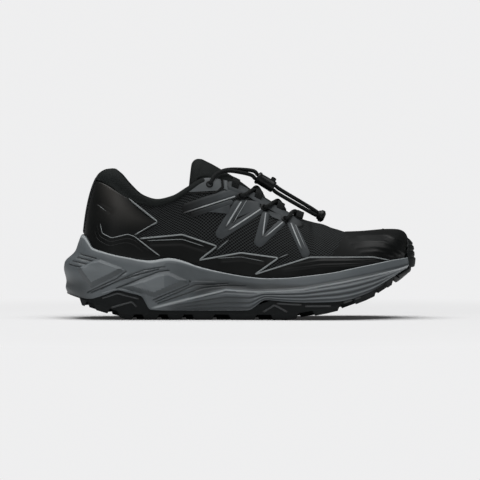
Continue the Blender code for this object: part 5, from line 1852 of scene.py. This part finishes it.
def round_route(points, step=LACE_STEP):
    """Points at even steps on a round curve through the points of a route."""
    points = np.array(points, dtype=float)
    padded = np.vstack([2 * points[0] - points[1], points, 2 * points[-1] - points[-2]])
    dense = []
    for a, b, c, d in zip(padded, padded[1:], padded[2:], padded[3:]):
        for t in np.linspace(0, 1, BEND_POINTS, endpoint=False):
            bend = (2 * a - 5 * b + 4 * c - d) * t ** 2 + (3 * b - a - 3 * c + d) * t ** 3
            dense.append(0.5 * (2 * b + (c - a) * t + bend))
    return even_line(np.array(dense + [points[-1]]), step)


def tube(route, into=None):
    """A closed tube of lace along a route, drawn in a little at its ends."""
    run = unit(np.gradient(route, axis=0))
    first = unit(np.cross(run, (0.0, 1.0, 0.0)))
    second = np.cross(run, first)
    count = len(route) - 1

    def place(u, v):
        i = step_of(u, count)
        turn = 2 * math.pi * v
        ring = first[i] * np.cos(turn)[:, None] + second[i] * np.sin(turn)[:, None]
        size = LACE_RADIUS * np.where((i == 0) | (i == count), TUBE_END, 1.0)
        return route[i] + ring * size[:, None]

    uv_size = (lengths_along(route)[-1], 2 * math.pi * LACE_RADIUS)
    bm = bent_grid(count, TUBE_AROUND, place, uv_size, into=into)
    close_up(bm, 0.0005, fill_ends=True)
    return bm


print("lace diameter:", LACE_DIAMETER)

# %% [markdown]
# Lace crossings
#
# The lace crosses the throat three times on its way up. Each time a strand leaves an eyelet on either
# side, runs over the edge of the throat and the tongue, and leans forward to go under the other edge at
# the next eyelet. Straight tubes would cut through the tongue, so each route is bent over it, and one
# strand is lifted over the other.

# %% Lace crossings
EYELETS = [(-24.8, 110.0), (0.5, 100.2), (20.0, 90.8), (37.0, 81.4)]
FRONT_X = 50.5
LACE_OFF = OVERLAY_GAP + OVERLAY_WALL + 2.5 * GAP + LACE_RADIUS
LACE_OVER_TONGUE = 0.8 + LACE_RADIUS
THROAT_SHARES = np.linspace(30, 67.4, 200)
THROAT_X = UPPER_SECTIONS.at("x", THROAT_SHARES)
UNDER_LIFT, OVER_LIFT = -0.6, 2.7
EYELET_OFF, STRAP_OFF, STRAP_RISE, EDGE_DROP = 0.4, 2.4, 0.9, 1.6
AT_STRAP, AT_EDGE, AT_TONGUE = 0.2, 0.5, 0.72


def tongue_height(x):
    return float(TONGUE.at("height", x))


def throat_edge(x, side):
    half, height = (float(np.interp(x, THROAT_X, UPPER_SECTIONS.at(name, THROAT_SHARES)))
                    for name in ("half", "height"))
    return np.array([x, float(centre_line(x)) + side * half, height + LACE_OFF + GAP])


def over_tongue(x, lift):
    return np.array([x, float(centre_line(x)), tongue_height(x) + LACE_OVER_TONGUE + lift])


def tuck_point(x, side):
    """Middle of a lace where it goes under the edge of the throat."""
    edge = throat_edge(x, side)
    half = abs(edge[1] - float(centre_line(x)))
    low = edge[2] - LACE_OFF - GAP - UPPER_WALL - TONGUE_CLEARANCE
    share = (half - LACE_RADIUS - 3 * GAP) / half
    rise = max(tongue_height(x) - low, 0) * (1 - share ** 2)
    return np.array([x, float(centre_line(x)) + side * share * half, low + rise + LACE_OVER_TONGUE])


def eyelet_point(number, side, off):
    return skin(*seen_at(*EYELETS[number], side), off)


def diagonal(start, side, lift):
    """Route of a lace out of an eyelet, over the throat and under its other edge, further forward."""
    first = EYELETS[start][0]
    last = EYELETS[start + 1][0] if start + 1 < len(EYELETS) else FRONT_X
    run = last - first
    return [
        eyelet_point(start, side, EYELET_OFF),
        eyelet_point(start, side, STRAP_OFF) + np.array([AT_STRAP * run, 0, STRAP_RISE]),
        throat_edge(first + AT_EDGE * run, side) - np.array([0, 0, EDGE_DROP]),
        over_tongue(first + AT_TONGUE * run, lift),
        tuck_point(last, -side),
    ]


for number in range(1, len(EYELETS)):
    crossing_bm = None
    for side, lift in zip(SIDES.values(), (UNDER_LIFT, OVER_LIFT)):
        crossing_bm = tube(round_route(diagonal(number, side, lift)), crossing_bm)
    stands_for = [f"lace_crossing_{number}"]
    make_piece(f"lace_cross_{number}", crossing_bm, LACE, stands_for, sharp=NO_EDGES)

# %% [markdown]
# Cord lock
#
# Both lace ends run through a barrel-shaped lock with a sprung button. Barrel and button are turned
# parts, so each is a profile of heights and radii that is spun round an axis. The pocket of the button is
# cut with a boolean, the one place where two simple solids meet at a clean edge. The button is a piece on
# a body of its own.

# %% Cord lock
LOCK_CENTRE = np.array([21.2, 0.0, 111.8])
LOCK_TILT = math.radians(31)
LOCK_LENGTH, LOCK_RADIUS = 16.8, 5.3
LOCK_ALONG = np.array([math.cos(LOCK_TILT), 0, -math.sin(LOCK_TILT)])
LOCK_UP = np.array([math.sin(LOCK_TILT), 0, math.cos(LOCK_TILT)])
BUTTON_FOOT, BUTTON_TRAVEL, BUTTON_PLACE = 2.2, 1.5, 4.4
BUTTON_SEAT = LOCK_CENTRE + LOCK_ALONG * BUTTON_PLACE + LOCK_UP * LOCK_RADIUS
POCKET_DEPTH, POCKET_RADIUS, POCKET_TOP = BUTTON_FOOT + BUTTON_TRAVEL + GAP, 2.5, 4.0
HALF_LOCK = LOCK_LENGTH / 2
BACK, FRONT = -HALF_LOCK, HALF_LOCK
BARREL = [
    (BACK, 0.0), (BACK, 3.9), (BACK + 0.3, 4.7), (BACK + 0.9, 5.2), (BACK + 2.0, LOCK_RADIUS),
    (BACK + 2.5, 5.1), (BACK + 2.8, 4.7), (BACK + 3.6, 4.6), (0, 4.75), (FRONT - 3.2, 4.8),
    (FRONT - 2.2, 4.9), (FRONT - 1.2, 4.9), (FRONT - 0.4, 4.5), (FRONT, 3.9), (FRONT, 0.0),
]
POCKET = [
    (-POCKET_DEPTH, 0.0), (-POCKET_DEPTH, POCKET_RADIUS), (POCKET_TOP, POCKET_RADIUS), (POCKET_TOP, 0.0),
]
BUTTON = [
    (-BUTTON_FOOT, 0.0), (-BUTTON_FOOT, 2.1), (0.9, 2.2), (1.5, 2.0), (1.8, 1.5), (1.95, 0.8), (1.95, 0.0),
]


def turned(profile, way, centre, steps=40):
    """A profile of (height, radius) pairs, spun round an axis that points the given way."""
    bm = bmesh.new()
    bm.loops.layers.uv.verify()
    verts = [bm.verts.new((radius, 0, height)) for height, radius in profile]
    edges = [bm.edges.new(pair) for pair in zip(verts, verts[1:])]
    bmesh.ops.spin(bm, geom=verts + edges, cent=(0, 0, 0), axis=(0, 0, 1), angle=2 * math.pi, steps=steps,
                   use_merge=True)
    close_up(bm, 0.001)
    turn = Vector((0, 0, 1)).rotation_difference(Vector(way)).to_matrix()
    bmesh.ops.rotate(bm, verts=bm.verts, matrix=turn)
    bmesh.ops.translate(bm, verts=bm.verts, vec=Vector(centre))
    return bm


def carve(thing, shape):
    """Cut one closed shape out of a piece, for good."""
    mesh = bpy.data.meshes.new("pocket")
    bmesh.ops.scale(shape, vec=(MM, MM, MM), verts=shape.verts)
    shape.to_mesh(mesh)
    shape.free()
    cutter = link(bpy.data.objects.new("pocket", mesh))
    cut = thing.modifiers.new("pocket", "BOOLEAN")
    cut.operation = "DIFFERENCE"
    cut.object = cutter
    bpy.context.view_layer.update()
    carved = bpy.data.meshes.new_from_object(thing.evaluated_get(bpy.context.evaluated_depsgraph_get()))
    thing.modifiers.clear()
    thing.data = carved
    bpy.data.objects.remove(cutter, do_unlink=True)


barrel_bm = turned(BARREL, LOCK_ALONG, LOCK_CENTRE)
lock = make_piece("lock_barrel", barrel_bm, PLASTIC, ["cord_lock_body"])
carve(lock, turned(POCKET, LOCK_UP, BUTTON_SEAT, steps=32))
button_bm = turned(BUTTON, LOCK_UP, BUTTON_SEAT, steps=32)
make_piece("lock_button_cap", button_bm, PLASTIC, ["cord_lock_button"], "lock_button")

# %% [markdown]
# Pull on the lace ends
#
# The lace ends are caught in a small moulded pull with a collar to hold it by. It is another turned part,
# so the same helper spins its profile; its axis lies along the last stretch of the lace.

# %% Pull on the lace ends
PULL_CENTRE = np.array([67.0, 1.0, 84.2])
PULL_TILT = math.radians(24)
PULL_ALONG = np.array([math.cos(PULL_TILT), 0, -math.sin(PULL_TILT)])
PULL_LENGTH = 6.4
PULL = [
    (-3.2, 0.0), (-3.2, 3.0), (-2.9, 3.6), (-1.6, 4.0), (-1.2, 4.7), (-0.6, 5.0), (1.2, 5.0), (1.9, 4.7),
    (2.3, 4.0), (2.9, 3.4), (3.2, 2.6), (3.0, 2.0), (2.9, 0.0),
]
pull_bm = turned(PULL, PULL_ALONG, PULL_CENTRE)
pull = make_piece("lace_end_pull", pull_bm, PLASTIC, ["lace_pull"])

# %% [markdown]
# Webbing loops and eyelets
#
# Short bands of webbing arch over the throat's edge between the eyelets, and each eyelet has a raised
# rim. A band could be a bent box; here a few routes side by side, each on its own section of the upper,
# are spanned by a grid and given a wall. The rims are turned rings, set on the upper the way its surface
# faces.

# %% Webbing loops and eyelets
# Each stop: how far below the throat's edge, how far off the outside, and how far above the edge
LOOP_PATH = [
    (5.6, 0.9, 0), (4.0, 2.4, 0), (2.0, 4.2, 0), (0, 4.8, 0.8), (0, 3.6, 3.0), (0, 0.5, 3.8),
    (0, -2.0, 2.6), (1.5, -2.6, 0),
]
LOOP_PLACES = (-4.5, 14.2, 32.2, 48.0)
LOOP_WALL, LOOP_HALF, LOOP_STEPS, LOOP_POINTS = 0.9, 0.85, 6, 15
EYELET_RING = [(-0.5, 1.75), (0.35, 1.9), (0.6, 2.3), (0.35, 2.9), (-0.5, 3.1), (-0.5, 1.75)]
RIM_SEAT = 1.1


def loop_line(share):
    section = Section(share)
    return round_route([section.place(*stop) for stop in LOOP_PATH])[:LOOP_POINTS]


def build_loops(side, label):
    """Bands of webbing that arch over the edge of the throat."""
    bm = bmesh.new()
    for x in LOOP_PLACES:
        middle = float(np.interp(x, THROAT_X, THROAT_SHARES))
        shares = side * np.linspace(middle - LOOP_HALF, middle + LOOP_HALF, LOOP_STEPS + 1)
        lines = np.array([loop_line(share) for share in shares])
        last = lines.shape[1] - 1

        def place(u, v, lines=lines, last=last):
            return lines[step_of(v, LOOP_STEPS), step_of(u, last)]

        bent_grid(last, LOOP_STEPS, place, uv_size=(18, 6), into=bm)
    face_out(bm)
    thing = make_piece("lace_loops_" + label, bm, LACE, sharp=NO_EDGES)
    add_wall(thing, LOOP_WALL)


def build_eyelets(side, label):
    bm = bmesh.new()
    for number in range(len(EYELETS)):
        seat = eyelet_point(number, side, RIM_SEAT)
        ring = turned(EYELET_RING, eyelet_point(number, side, RIM_SEAT + 1) - seat, seat, steps=24)
        mesh = bpy.data.meshes.new("ring")
        ring.to_mesh(mesh)
        ring.free()
        bm.from_mesh(mesh)
        bpy.data.meshes.remove(mesh)
    make_piece("eyelet_rims_" + label, bm, PLASTIC)


both_sides(build_loops)
both_sides(build_eyelets)

# %% [markdown]
# Lace ends
#
# From the top eyelets both ends of the lace rise over the tongue, run side by side through the lock and
# on to the pull. These four stretches hang free, and each is a tube along its route, which ends in the
# lock or in the pull.

# %% Lace ends
RISE_X = -19.0
CREST = {"lateral": np.array([-9.0, -9.0, 121.2]), "medial": np.array([-9.0, 9.0, 122.4])}
STRAND_SPREAD = np.array([0, 1.3, 0]) + 1.9 * LOCK_UP
STRAIGHT_RUN, LACE_SAG, INTO_FACE = 6.0, np.array([0, 0, 0.8]), 0.2
PULL_RUN, PULL_LIFT, PULL_SPREAD = 10.0, 0.2, 0.85 * np.array([0.8, 1, 0.8])


def lace_piece(name, points, node):
    """A stretch of free lace, as a tube along a rounded route."""
    route = round_route(points)
    thing = make_piece(name, tube(route), LACE, [node], sharp=NO_EDGES)


for label, side in SIDES.items():
    spread = side * STRAND_SPREAD
    half_inside = LOCK_ALONG * (HALF_LOCK - INTO_FACE)
    into_lock, out_of_lock = LOCK_CENTRE - half_inside + spread, LOCK_CENTRE + half_inside + spread
    into_pull = PULL_CENTRE - PULL_ALONG * (PULL_LENGTH / 2 - INTO_FACE) + PULL_SPREAD * spread
    lace_piece("lace_to_lock_" + label, [
        eyelet_point(0, side, 1.2),
        throat_edge(RISE_X, side),
        CREST[label],
        into_lock - LOCK_ALONG * STRAIGHT_RUN + LACE_SAG,
        into_lock,
    ], "lace_end_" + label)
    lace_piece("lace_to_pull_" + label, [
        out_of_lock,
        out_of_lock + LOCK_ALONG * STRAIGHT_RUN - LACE_SAG,
        into_pull - LOCK_ALONG * PULL_RUN + PULL_LIFT * spread,
        into_pull,
    ], "lace_tail_" + label)
